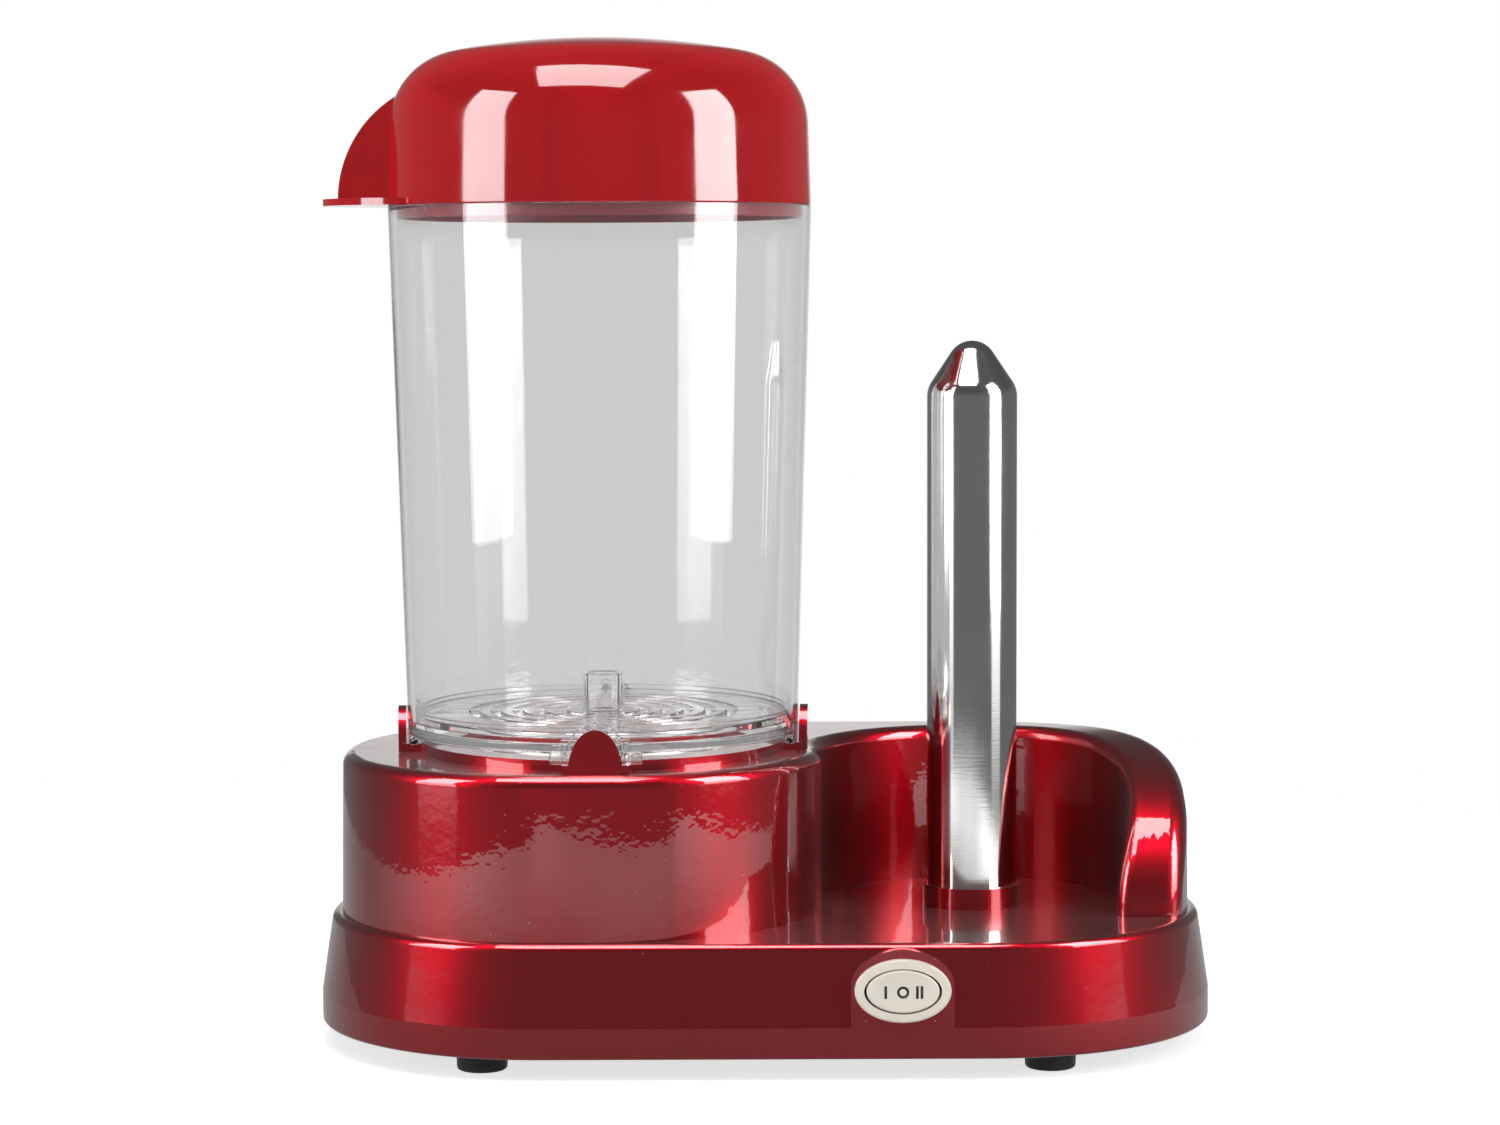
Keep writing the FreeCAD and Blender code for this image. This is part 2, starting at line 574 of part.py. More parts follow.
BOSS_FRONT = f"(-{HALF_DEPTH})"
SWITCH_HEIGHT = "(Size.rim_height + Size.switch_rise)"
ARCH_HEIGHT = f"({SWITCH_HEIGHT} + Size.boss_above_switch)"
BOSS_FOOT = f"({BAND_TOP} - Size.boss_below_band)"
switch_arch = oval("switch_arch", "Size.boss_half_width", "Size.boss_half_height", SWITCH_X, BOSS_FRONT,
                   ARCH_HEIGHT, "Size.boss_depth")
switch_leg = box("switch_leg", "2 * Size.boss_half_width", "Size.boss_depth", f"{ARCH_HEIGHT} - {BOSS_FOOT}",
                 SWITCH_X, f"{BOSS_FRONT} + Size.boss_depth / 2", BOSS_FOOT)
GLAND_SEAT = HALF_DEPTH
GLAND_HEIGHT = "(Size.rim_height + Size.gland_rise)"
GLAND_BARREL = "(Size.gland_bore + Size.gland_wall)"
gland_pad = cylinder("gland_pad", "Size.gland_pad_radius", "Size.boss_depth", "Size.gland_x",
                     f"{GLAND_SEAT} - Size.boss_depth", GLAND_HEIGHT, "y")
plinth_skin = cut("plinth_skin", fuse("plinth_solid", [plinth_block, switch_arch, switch_leg, gland_pad]),
                  plinth_hollow)

plinth_pieces = [plinth_skin]
for index, (x, y) in enumerate(PLINTH_BOSSES):
    plinth_pieces.append(cylinder(f"plinth_boss_{index}", "Size.boss_radius",
                                  f"{CEILING} + Size.shell_wall / 2 - ({PLATE_TOP})", x, y, PLATE_TOP))
SPIKE_FLANGE = "(Size.spike_radius + Size.spike_flange_width)"
SPIKE_SCREW_Y = f"({SPIKE_FLANGE} + Size.spike_boss_gap + Size.spike_boss_radius)"
SPIKE_FOOT = f"({CEILING} - Size.spike_flange_thickness)"
COLLAR_RADIUS = "(Size.spike_radius + Size.fit_clearance + Size.collar_wall)"
for index, side in enumerate(("-", "")):
    plinth_pieces.append(cylinder(f"spike_boss_{index}", "Size.spike_boss_radius",
                                  "Size.spike_flange_thickness + Size.shell_wall / 2", SPIKE_X,
                                  f"{side}{SPIKE_SCREW_Y}", SPIKE_FOOT))
plinth_pieces.append(cylinder("spike_collar", COLLAR_RADIUS, "Size.collar_height + Size.shell_wall / 2", SPIKE_X,
                              "0", f"{FLOOR} - Size.shell_wall / 2"))

BARREL_HALF_WIDTH = "(Size.rocker_half_width + Size.rocker_gap_side + Size.barrel_wall)"
BARREL_HALF_HEIGHT = "(Size.rocker_half_height + Size.rocker_gap_edge + Size.barrel_wall)"
plinth_holes = [
    cylinder("boiler_hole", RING_OUTSIDE, "2 * Size.shell_wall", BOILER_X, "0",
             f"{CEILING} - Size.shell_wall / 2"),
    cylinder("spike_hole", "Size.spike_radius + Size.fit_clearance", "Size.collar_height + 3 * Size.shell_wall",
             SPIKE_X, "0", f"{CEILING} - Size.shell_wall"),
    oval("switch_hole", f"{BARREL_HALF_WIDTH} + Size.fit_clearance", f"{BARREL_HALF_HEIGHT} + Size.fit_clearance",
         SWITCH_X, f"{BOSS_FRONT} - Size.boss_depth / 2", SWITCH_HEIGHT, "2 * Size.boss_depth"),
    cylinder("gland_hole", f"{GLAND_BARREL} + Size.fit_clearance", "2 * Size.boss_depth", "Size.gland_x",
             f"{GLAND_SEAT} - 1.5 * Size.boss_depth", GLAND_HEIGHT, "y"),
]
PILOT_DEPTH = "Size.bottom_screw_length"
for index, (x, y) in enumerate(PLINTH_BOSSES):
    plinth_holes.append(cylinder(f"plinth_pilot_{index}", "Size.pilot_radius", PILOT_DEPTH, x, y, PLATE_TOP))
for index, (x, y) in enumerate(HOUSING_BOSSES):
    plinth_holes.append(cylinder(f"housing_screw_hole_{index}", "Size.screw_hole_radius",
                                 "3 * Size.shell_wall", x, y, f"{CEILING} - Size.shell_wall"))
for index, side in enumerate(("-", "")):
    plinth_holes.append(cylinder(f"spike_pilot_{index}", "Size.pilot_radius",
                                 "Size.spike_flange_thickness + Size.shell_wall * 0.8", SPIKE_X,
                                 f"{side}{SPIKE_SCREW_Y}", f"{SPIKE_FOOT} - 0.1"))
node(cut("plinth_part", fuse("plinth_joined", plinth_pieces), fuse("plinth_openings", plinth_holes)), "plinth")

# Upper housing: a shell round the boiler that runs on as a curved wall behind the bread recess.
HOUSING_END = f"({END_RADIUS} - {HOUSING_INSET})"
HOUSING_ANGLE = "-atan(Size.housing_draft / Size.housing_rise)"
BEYOND = f"(2 * {HALF_LENGTH})"


def housing_form(name, inset, low, high):
    """The housing's outside, or its hollow when inset by the wall."""
    body = body_at(name)
    outline = rounded_outline(sketch_on(body, name + "_outline", "XY_Plane", low),
                              f"{HOUSING_HALF_LENGTH} - {inset}", f"{HOUSING_HALF_DEPTH} - {inset}",
                              f"{HOUSING_END} - {inset}")
    pad(body, name + "_mass", outline, f"{high} - ({low})", HOUSING_ANGLE)
    recess = sketch_on(body, name + "_recess_outline", "XY_Plane", f"{high} + 1")
    circle_on(recess, SPIKE_X, "0", f"Size.recess_radius + {inset}")
    pocket(body, name + "_recess", recess, f"{high} - ({low}) + 2")
    side_radius = f"Size.side_curve - {inset}"
    side_centre = f"Size.side_curve - ({HOUSING_HALF_DEPTH})"
    side_end = f"{BOILER_X} + {side_radius}"
    front = f"-({HOUSING_HALF_DEPTH} - {inset})"
    arm_end = f"-(Size.arm_front - {inset})"
    clear = sketch_on(body, name + "_front_outline", "XY_Plane", f"{high} + 1")
    draw(clear, [
        (side_end, side_centre, BOILER_X, side_centre, "right"),
        (BOILER_X, front),
        (BOILER_X, f"-({BEYOND})"),
        (BEYOND, f"-({BEYOND})"),
        (BEYOND, arm_end),
        (SPIKE_X, arm_end),
        (SPIKE_X, side_centre),
    ])
    pocket(body, name + "_front", clear, f"{high} - ({low}) + 2")
    arm_length = f"Size.arm_back + Size.arm_front - {inset}"
    arm_rise = f"{high} - {FLOOR}"
    fall = doc.addObject("Part::Ellipse", name + "_fall_curve")
    upright = Rotation(Vector(0, 1, 0), Vector(0, 0, 1), Vector(1, 0, 0), "XYZ")
    fall.Placement = FreeCAD.Placement(Vector(), upright)
    bind(fall, {"MajorRadius": arm_length, "MinorRadius": arm_rise})
    place(fall, SPIKE_X, "Size.arm_back", FLOOR)
    keep = doc.addObject("Part::Extrusion", name + "_fall")
    keep.Base = fall
    keep.DirMode = "Custom"
    keep.Dir = Vector(1, 0, 0)
    keep.Solid = True
    bind(keep, {"LengthFwd": BEYOND})
    ahead = box(name + "_ahead", BEYOND, f"{BEYOND} + Size.arm_back", f"{high} - ({low}) + 2",
                f"{SPIKE_X} + {BEYOND} / 2", f"(Size.arm_back - {BEYOND}) / 2", FLOOR)
    return cut(name + "_arm", body, cut(name + "_arm_waste", ahead, keep))


housing_block = housing_form("housing_block", "0", FLOOR, HOUSING_TOP)
HOLLOW_TOP = f"({HOUSING_TOP} - Size.housing_roof)"
housing_void = housing_form("housing_void", "Size.shell_wall", f"{FLOOR} - 1", HOLLOW_TOP)
wall_roof = box("wall_roof", BEYOND, BEYOND, "2 * Size.arm_roof",
                f"{SPIKE_X} - Size.recess_radius + {BEYOND} / 2 + Size.side_curve / 4", "0",
                f"{HOUSING_TOP} - Size.arm_roof")
housing_hollow = cut("housing_hollow", housing_void, wall_roof)
doc.recompute()

housing_rounded = doc.addObject("Part::Fillet", "housing_rounded")
housing_rounded.Base = housing_block
small = value("Size.housing_round")
large = value("Size.arm_round")
top = value(HOUSING_TOP)
base_level = value(FLOOR)
spike_axis = value(SPIKE_X)
recess = value("Size.recess_radius")
straight_end = value(f"{HOUSING_HALF_LENGTH} - ({HOUSING_END})")


def radius_at(point):
    """The outside round grows along the back of the curved wall to the right arm."""
    from_spike = math.hypot(point.x - spike_axis, point.y)
    if from_spike < recess + 1 or point.x < 0 or point.y < -value("Size.arm_front") - 1:
        return small
    if point.x >= straight_end - 1:
        return large
    return small


rounded_edges = []
for index, edge in enumerate(housing_block.Shape.Edges, start=1):
    points = edge.discretize(7)
    flat_top = all(abs(point.z - top) < 0.01 for point in points)
    falls = (max(point.z for point in points) > top - 1 and min(point.z for point in points) < base_level + 1
             and max(point.y for point in points) - min(point.y for point in points) > value("Size.arm_front"))
    if flat_top or falls:
        first = edge.valueAt(edge.FirstParameter)
        last = edge.valueAt(edge.LastParameter)
        rounded_edges.append((index, radius_at(first), radius_at(last)))
housing_rounded.Edges = rounded_edges

CLAMP_RING_TOP = f"{HOLLOW_TOP} - Size.seal_thickness - Size.dish_sheet"
housing_pieces = [cut("housing_skin", housing_rounded, housing_hollow)]
RISE_FROM_ROOF = "Size.housing_roof / 2"
housing_pieces.append(cylinder("boiler_ring", RING_OUTSIDE,
                               f"Size.ring_rise + {RISE_FROM_ROOF}", BOILER_X, "0",
                               f"{HOUSING_TOP} - {RISE_FROM_ROOF}"))
pad_bars = fuse("pad_bars", [
    box("pad_bar_x", f"4 * {RING_OUTSIDE}", "Size.pad_width", f"Size.pad_rise + {RISE_FROM_ROOF}", BOILER_X, "0",
        f"{HOUSING_TOP} - {RISE_FROM_ROOF}"),
    box("pad_bar_y", "Size.pad_width", f"4 * {RING_OUTSIDE}", f"Size.pad_rise + {RISE_FROM_ROOF}", BOILER_X, "0",
        f"{HOUSING_TOP} - {RISE_FROM_ROOF}"),
])
housing_pieces.append(common("container_pads", pad_bars, tube(
    "pad_ring", f"{TONGUE_INNER} + Size.tongue_thickness / 2", f"{RING_OUTSIDE} - Size.ring_width / 2",
    "2 * Size.housing_roof + Size.pad_rise", BOILER_X, "0", f"{HOUSING_TOP} - 2 * Size.housing_roof")))
tongue_arch_y = oval("tongue_arch_y", "Size.tongue_half_width", "Size.tongue_height", BOILER_X,
                     f"-2 * {RING_OUTSIDE}", HOUSING_TOP, f"4 * {RING_OUTSIDE}")
tongue_arch_x = doc.addObject("Part::Ellipse", "tongue_arch_x_curve")
tongue_arch_x.Placement = FreeCAD.Placement(
    Vector(), Rotation(Vector(0, 0, 1), Vector(0, 1, 0), Vector(-1, 0, 0), "XYZ"))
bind(tongue_arch_x, {"MajorRadius": "Size.tongue_height", "MinorRadius": "Size.tongue_half_width"})
place(tongue_arch_x, f"{BOILER_X} - 2 * {RING_OUTSIDE}", "0", HOUSING_TOP)
tongue_rod_x = doc.addObject("Part::Extrusion", "tongue_arch_x")
tongue_rod_x.Base = tongue_arch_x
tongue_rod_x.DirMode = "Custom"
tongue_rod_x.Dir = Vector(1, 0, 0)
tongue_rod_x.Solid = True
bind(tongue_rod_x, {"LengthFwd": f"4 * {RING_OUTSIDE}"})
housing_pieces.append(common("clip_tongues", fuse("tongue_arches", [tongue_arch_y, tongue_rod_x]), tube(
    "tongue_ring", f"{TONGUE_INNER} + Size.tongue_thickness", TONGUE_INNER,
    f"Size.tongue_height + {RISE_FROM_ROOF}", BOILER_X, "0", f"{HOUSING_TOP} - {RISE_FROM_ROOF}")))
ARM_BOSS_REACH = "(Size.arm_back - Size.arm_boss_y + Size.housing_boss_radius)"
ARM_BOSS_ROOF = (f"{FLOOR} + Size.housing_rise * sqrt(1 - ({ARM_BOSS_REACH} / (Size.arm_back + Size.arm_front)) ^ 2)"
                 " - Size.shell_wall / 2")
BOSS_ROOFS = 3 * [f"{HOLLOW_TOP} + 1"] + [f"{HOUSING_TOP} - Size.arm_roof + 1", ARM_BOSS_ROOF]
for index, ((x, y), roof) in enumerate(zip(HOUSING_BOSSES, BOSS_ROOFS)):
    housing_pieces.append(cylinder(f"housing_boss_{index}", "Size.housing_boss_radius",
                                   f"{roof} - {FLOOR}", x, y, FLOOR))
CLAMP_SCREWS = [
    (f"{BOILER_X} + {CLAMP_SCREW_CIRCLE} * cos({angle})", f"{CLAMP_SCREW_CIRCLE} * sin({angle})")
    for angle in (-90, 30, 150)
]
for index, (x, y) in enumerate(CLAMP_SCREWS):
    housing_pieces.append(cylinder(f"clamp_boss_{index}", "Size.clamp_boss_radius",
                                   f"{HOLLOW_TOP} + 1 - ({CLAMP_RING_TOP})", x, y, CLAMP_RING_TOP))
housing_holes = [cylinder("boiler_mouth", OPENING, "4 * Size.housing_roof + Size.ring_rise", BOILER_X, "0",
                          f"{HOLLOW_TOP} - Size.housing_roof")]
for index, (x, y) in enumerate(HOUSING_BOSSES):
    housing_holes.append(cylinder(f"housing_pilot_{index}", "Size.pilot_radius", "Size.housing_screw_length",
                                  x, y, f"{FLOOR} - 1"))
for index, (x, y) in enumerate(CLAMP_SCREWS):
    housing_holes.append(cylinder(f"clamp_pilot_{index}", "Size.pilot_radius",
                                  "Size.clamp_screw_length - Size.clamp_ring_thickness + Size.head_clearance", x, y,
                                  f"{CLAMP_RING_TOP} - 0.1"))
node(cut("housing_part", fuse("housing_joined", housing_pieces), fuse("housing_openings", housing_holes)),
     "upper_housing")
screws("housing_screws", [(x, y, CEILING) for x, y in HOUSING_BOSSES], "Size.housing_screw_length - 1")

# Bottom plate: closes the plinth, with holes for screws and feet, posts for the clamp, and vents.
plate = body_at("plate_body")
plate_outline = rounded_outline(sketch_on(plate, "plate_outline", "XY_Plane", PLATE_BOTTOM),
                                f"{HALF_LENGTH} - Size.shell_wall - Size.plate_gap",
                                f"{HALF_DEPTH} - Size.shell_wall - Size.plate_gap",
                                f"{END_RADIUS} - Size.shell_wall - Size.plate_gap")
pad(plate, "plate_slab", plate_outline, "Size.plate_thickness")
vents = []
for side, centre in (("left", BOILER_X), ("right", SPIKE_X)):
    slot = sketch_on(plate, f"vent_outline_{side}", "XY_Plane", f"{PLATE_TOP} + 1")
    start = f"{centre} - (Size.vent_count - 1) * Size.vent_pitch / 2"
    draw(slot, [
        (f"{start} - Size.vent_width / 2", "-Size.vent_length / 2"),
        (f"{start} + Size.vent_width / 2", "-Size.vent_length / 2"),
        (f"{start} + Size.vent_width / 2", "Size.vent_length / 2"),
        (f"{start} - Size.vent_width / 2", "Size.vent_length / 2"),
    ])
    first_vent = pocket(plate, f"vent_{side}", slot, "Size.plate_thickness + 2")
    row_of_vents = plate.newObject("PartDesign::LinearPattern", f"vents_{side}")
    row_of_vents.Originals = [first_vent]
    row_of_vents.Direction = (slot, ["H_Axis"])
    row_of_vents.setExpression("Length", "(Size.vent_count - 1) * Size.vent_pitch")
    row_of_vents.setExpression("Occurrences", "Size.vent_count")
    plate.Tip = row_of_vents
    doc.recompute()
FOOT_X = f"({HALF_LENGTH} - Size.foot_from_end)"
FOOT_Y = f"({HALF_DEPTH} - Size.foot_from_side)"
FEET = [
    ("foot_front_left", f"-{FOOT_X}", f"-{FOOT_Y}"),
    ("foot_front_right", FOOT_X, f"-{FOOT_Y}"),
    ("foot_back_left", f"-{FOOT_X}", FOOT_Y),
    ("foot_back_right", FOOT_X, FOOT_Y),
]
CLAMP_SEAT = f"({GLAND_HEIGHT} - Size.gland_bore)"
CLAMP_Y = f"({HALF_DEPTH} - Size.clamp_from_back)"
plate_pieces = [plate]
clamp_places = []
for index, side in enumerate(("-", "+")):
    x = f"Size.gland_x {side} Size.clamp_screw_x"
    clamp_places.append(x)
    plate_pieces.append(box(f"clamp_post_{index}", "Size.clamp_width / 2 - Size.gland_bore", "Size.clamp_length",
                            f"{CLAMP_SEAT} - ({PLATE_TOP}) + 0.5",
                            f"Size.gland_x {side} (Size.clamp_width / 4 + Size.gland_bore / 2)",
                            CLAMP_Y, f"{PLATE_TOP} - 0.5"))
plate_holes = []
for index, (x, y) in enumerate(PLINTH_BOSSES):
    plate_holes.append(cylinder(f"plate_screw_hole_{index}", "Size.screw_hole_radius", "Size.plate_thickness + 2",
                                x, y, f"{PLATE_BOTTOM} - 1"))
    plate_holes.append(cylinder(f"plate_counterbore_{index}", "Size.head_radius + Size.head_clearance",
                                "Size.counterbore_depth + 1", x, y, f"{PLATE_BOTTOM} - 1"))
for name, x, y in FEET:
    plate_holes.append(cylinder(name + "_hole", "Size.foot_stud + Size.stud_clearance", "Size.plate_thickness + 2",
                                x, y, f"{PLATE_BOTTOM} - 1"))
for index, x in enumerate(clamp_places):
    plate_holes.append(cylinder(f"clamp_fixing_pilot_{index}", "Size.pilot_radius",
                                "Size.clamp_fixing_length - Size.clamp_height + 0.5", x, CLAMP_Y,
                                f"{CLAMP_SEAT} - (Size.clamp_fixing_length - Size.clamp_height)"))
node(cut("plate_part", fuse("plate_joined", plate_pieces), fuse("plate_openings", plate_holes)), "bottom_plate")
screws("bottom_screws", [(x, y, f"{PLATE_BOTTOM} + Size.counterbore_depth") for x, y in PLINTH_BOSSES],
       "Size.bottom_screw_length")

# Rubber feet: each is pushed through the plate by its barbed stud.
for name, x, y in FEET:
    foot = body_at(name + "_body", x, y)
    turned(foot, name + "_form", [
        ("0", "0"),
        ("Size.foot_radius - Size.foot_taper", "0"),
        ("Size.foot_radius", PLATE_BOTTOM),
        ("Size.foot_stud", PLATE_BOTTOM),
        ("Size.foot_stud", PLATE_TOP),
        ("Size.foot_barb", PLATE_TOP),
        ("Size.foot_stud - 0.5", f"{PLATE_TOP} + Size.foot_barb_height"),
        ("0", f"{PLATE_TOP} + Size.foot_barb_height"),
    ])
    node(foot, name)

# Switch: an oval frame snapped into the boss, a rocker on two pins, and the contact block behind.
BEZEL_FRONT = f"{BOSS_FRONT} - Size.bezel_proud"
BARREL_BACK = f"{BOSS_FRONT} + Size.barrel_length"
ROCKER_FACE = f"{BEZEL_FRONT} - Size.rocker_proud"
PIVOT_Y = f"{ROCKER_FACE} + Size.rocker_pivot_depth"
bezel_solid = fuse("bezel_solid", [
    oval("bezel_rim", "Size.bezel_half_width", "Size.bezel_half_height", SWITCH_X, BEZEL_FRONT,
         SWITCH_HEIGHT, "Size.bezel_proud"),
    oval("bezel_barrel", BARREL_HALF_WIDTH, BARREL_HALF_HEIGHT, SWITCH_X, BEZEL_FRONT,
         SWITCH_HEIGHT, "Size.bezel_proud + Size.barrel_length"),
])
doc.recompute()
bezel_soft = doc.addObject("Part::Fillet", "bezel_soft")
bezel_soft.Base = bezel_solid
bezel_front = value(BEZEL_FRONT)
bezel_round = value("Size.bezel_round")
bezel_soft.Edges = [(int(name[4:]), bezel_round, bezel_round) for name in
                    edges_where(bezel_solid.Shape, lambda p: abs(p.y - bezel_front) < 0.01)]
PIN_SPAN = "2 * (Size.rocker_half_height + Size.rocker_gap_edge + Size.pin_engagement)"
bezel_bore = oval("bezel_bore", "Size.rocker_half_width + Size.rocker_gap_side",
                  "Size.rocker_half_height + Size.rocker_gap_edge", SWITCH_X, f"{BEZEL_FRONT} - 1",
                  SWITCH_HEIGHT, "Size.bezel_proud + Size.barrel_length + 2")
PIN_FOOT = f"{SWITCH_HEIGHT} - ({PIN_SPAN}) / 2"
pin_holes = cylinder("pin_holes", "Size.rocker_pin + Size.pin_clearance", f"{PIN_SPAN} + 0.2", SWITCH_X,
                     PIVOT_Y, f"{PIN_FOOT} - 0.1")
node(cut("bezel_part", bezel_soft, fuse("bezel_openings", [bezel_bore, pin_holes])), "switch_bezel")

rocker_swing = cylinder(
    "rocker_swing", "sqrt(Size.rocker_half_width ^ 2 + Size.rocker_pivot_depth ^ 2)",
    "4 * Size.rocker_half_height", SWITCH_X, PIVOT_Y, f"{SWITCH_HEIGHT} - 2 * Size.rocker_half_height")
rocker_block = oval("rocker_block", "Size.rocker_half_width", "Size.rocker_half_height", SWITCH_X,
                    ROCKER_FACE, SWITCH_HEIGHT, "Size.rocker_pivot_depth + Size.rocker_skirt")
rocker_pins = cylinder("rocker_pins", "Size.rocker_pin", PIN_SPAN, SWITCH_X, PIVOT_Y, PIN_FOOT)
node(fuse("rocker_part", [common("rocker_form", rocker_block, rocker_swing), rocker_pins]), "switch_rocker")

switch_back = fuse("switch_back", [
    oval("switch_plug", "Size.rocker_half_width + Size.rocker_gap_side - Size.fit_clearance",
         "Size.rocker_half_height + Size.rocker_gap_edge - Size.fit_clearance", SWITCH_X,
         f"{BARREL_BACK} - Size.switch_plug", SWITCH_HEIGHT, "Size.switch_plug + Size.switch_rim / 2"),
    oval("switch_rim", BARREL_HALF_WIDTH, BARREL_HALF_HEIGHT, SWITCH_X, BARREL_BACK,
         SWITCH_HEIGHT, "Size.switch_rim"),
    box("switch_case", "Size.switch_body_width", "Size.switch_body_depth", "Size.switch_body_height",
        SWITCH_X, f"{BARREL_BACK} + Size.switch_rim / 2 + Size.switch_body_depth / 2",
        f"{SWITCH_HEIGHT} - Size.switch_body_height / 2"),
])
node(switch_back, "switch_body")
CASE_BACK = f"{BARREL_BACK} + Size.switch_rim / 2 + Size.switch_body_depth"
blades = []
for index, step in enumerate((-1, 0, 1)):
    blades.append(box(f"blade_{index}", "Size.blade_thickness", "Size.blade_length", "Size.blade_width",
                      f"{SWITCH_X} + {step} * Size.blade_pitch", f"{CASE_BACK} + Size.blade_length / 2",
                      f"{SWITCH_HEIGHT} - Size.blade_width / 2"))
blade_group = doc.addObject("Part::Compound", "blade_group")
blade_group.Links = blades
node(blade_group, "switch_terminals")

# Boiler: the dish hangs under the housing's opening on a seal, held up by a clamp ring.
SEAL_BOTTOM = f"{HOLLOW_TOP} - Size.seal_thickness"
node(tube("seal_part", f"{DISH_FLANGE} - Size.seal_inset", f"{OPENING} + Size.seal_inset", "Size.seal_thickness",
          BOILER_X, "0", SEAL_BOTTOM), "boiler_seal")
FLANGE_BOTTOM = f"{SEAL_BOTTOM} - Size.dish_sheet"
DISH_INSIDE = f"{SEAL_BOTTOM} - Size.dish_depth"
DISH_BOTTOM = f"{DISH_INSIDE} - Size.dish_sheet"
dish = body_at("dish_body", BOILER_X)
DISH_OUTER = f"({DISH_INNER} + Size.dish_sheet)"
OUTER_BEVEL = "(Size.dish_bevel + (2 - sqrt(2)) * Size.dish_sheet)"
turned(dish, "dish_form", [
    ("0", DISH_BOTTOM),
    (f"{DISH_OUTER} - {OUTER_BEVEL}", DISH_BOTTOM),
    (DISH_OUTER, f"{DISH_BOTTOM} + {OUTER_BEVEL}"),
    (DISH_OUTER, FLANGE_BOTTOM),
    (DISH_FLANGE, FLANGE_BOTTOM),
    (DISH_FLANGE, SEAL_BOTTOM),
    (DISH_INNER, SEAL_BOTTOM),
    (DISH_INNER, f"{DISH_INSIDE} + Size.dish_bevel"),
    (f"{DISH_INNER} - Size.dish_bevel", DISH_INSIDE),
    ("0", DISH_INSIDE),
])
node(dish, "boiler_dish")
CLAMP_RING_INNER = f"{DISH_OUTER} + 2 * Size.fit_clearance"
CLAMP_RING_BOTTOM = f"{FLANGE_BOTTOM} - Size.clamp_ring_thickness"
ring_solid = tube("clamp_ring_solid", CLAMP_RING_OUTER, CLAMP_RING_INNER, "Size.clamp_ring_thickness", BOILER_X,
                  "0", CLAMP_RING_BOTTOM)
ring_holes = [
    cylinder(f"clamp_ring_hole_{index}", "Size.screw_hole_radius", "Size.clamp_ring_thickness + 2", x, y,
             f"{CLAMP_RING_BOTTOM} - 1")
    for index, (x, y) in enumerate(CLAMP_SCREWS)
]
node(cut("clamp_ring_part", ring_solid, fuse("clamp_ring_holes", ring_holes)), "boiler_clamp")
screws("boiler_screws", [(x, y, CLAMP_RING_BOTTOM) for x, y in CLAMP_SCREWS], "Size.clamp_screw_length")

SPREADER_BOTTOM = f"{DISH_BOTTOM} - Size.spreader_thickness"
SPREADER_RADIUS = f"({DISH_INNER} - Size.spreader_inset)"
node(cylinder("spreader_part", SPREADER_RADIUS, "Size.spreader_thickness", BOILER_X, "0", SPREADER_BOTTOM),
     "heater_plate")
ELEMENT_RADIUS = f"({SPREADER_RADIUS} - Size.element_inset)"
ELEMENT_HEIGHT = f"{SPREADER_BOTTOM} - Size.element_tube"
ELEMENT_START = "(360 - Size.element_turn) / 2"
element_bend = doc.addObject("Part::Torus", "element_bend")
element_bend.Placement = FreeCAD.Placement(Vector(), Rotation(Vector(0, 0, 1), 0))
bind(element_bend, {"Radius1": ELEMENT_RADIUS, "Radius2": "Size.element_tube", "Angle3": "Size.element_turn",
                    "Placement.Rotation.Angle": f"{ELEMENT_START} * 1 deg"})
place(element_bend, BOILER_X, "0", ELEMENT_HEIGHT)
element_pieces = [element_bend]
for index, side in enumerate(("-", "")):
    x = f"{BOILER_X} + {ELEMENT_RADIUS} * cos({ELEMENT_START})"
    y = f"{side}{ELEMENT_RADIUS} * sin({ELEMENT_START})"
    ball = doc.addObject("Part::Sphere", f"element_corner_{index}")
    bind(ball, {"Radius": "Size.element_tube"})
    place(ball, x, y, ELEMENT_HEIGHT)
    element_pieces.append(ball)
    element_pieces.append(cylinder(f"element_tail_{index}", "Size.element_tube", "Size.element_tail", x, y,
                                   f"{ELEMENT_HEIGHT} - Size.element_tail"))
    element_pieces.append(cylinder(f"element_pin_{index}", "Size.wire_radius", "Size.element_pin", x, y,
                                   f"{ELEMENT_HEIGHT} - Size.element_tail - Size.element_pin"))
node(fuse("element_part", element_pieces), "heating_element")
thermostat_pieces = [
    cylinder("thermostat_can", "Size.thermostat_radius", "Size.thermostat_height", BOILER_X, "0",
             f"{SPREADER_BOTTOM} - Size.thermostat_height"),
    box("thermostat_strap", "Size.thermostat_strap", "Size.thermostat_radius", "Size.fuse_saddle", BOILER_X, "0",
        f"{SPREADER_BOTTOM} - Size.fuse_saddle"),
]
for index, side in enumerate(("-", "+")):
    thermostat_pieces.append(box(f"thermostat_blade_{index}", "Size.blade_thickness", "Size.blade_width",
                                 "Size.thermostat_blade", f"{BOILER_X} {side} Size.thermostat_radius / 2", "0",
                                 f"{SPREADER_BOTTOM} - Size.thermostat_height - Size.thermostat_blade"))
node(fuse("thermostat_part", thermostat_pieces), "thermostat")
node(cylinder("fuse_part", "Size.fuse_radius", "Size.fuse_length", f"{BOILER_X} - Size.fuse_length / 2",
              "Size.fuse_y", f"{SPREADER_BOTTOM} - Size.fuse_radius", "x"), "thermal_fuse")
saddle_height = "2 * Size.fuse_radius + Size.fuse_saddle"
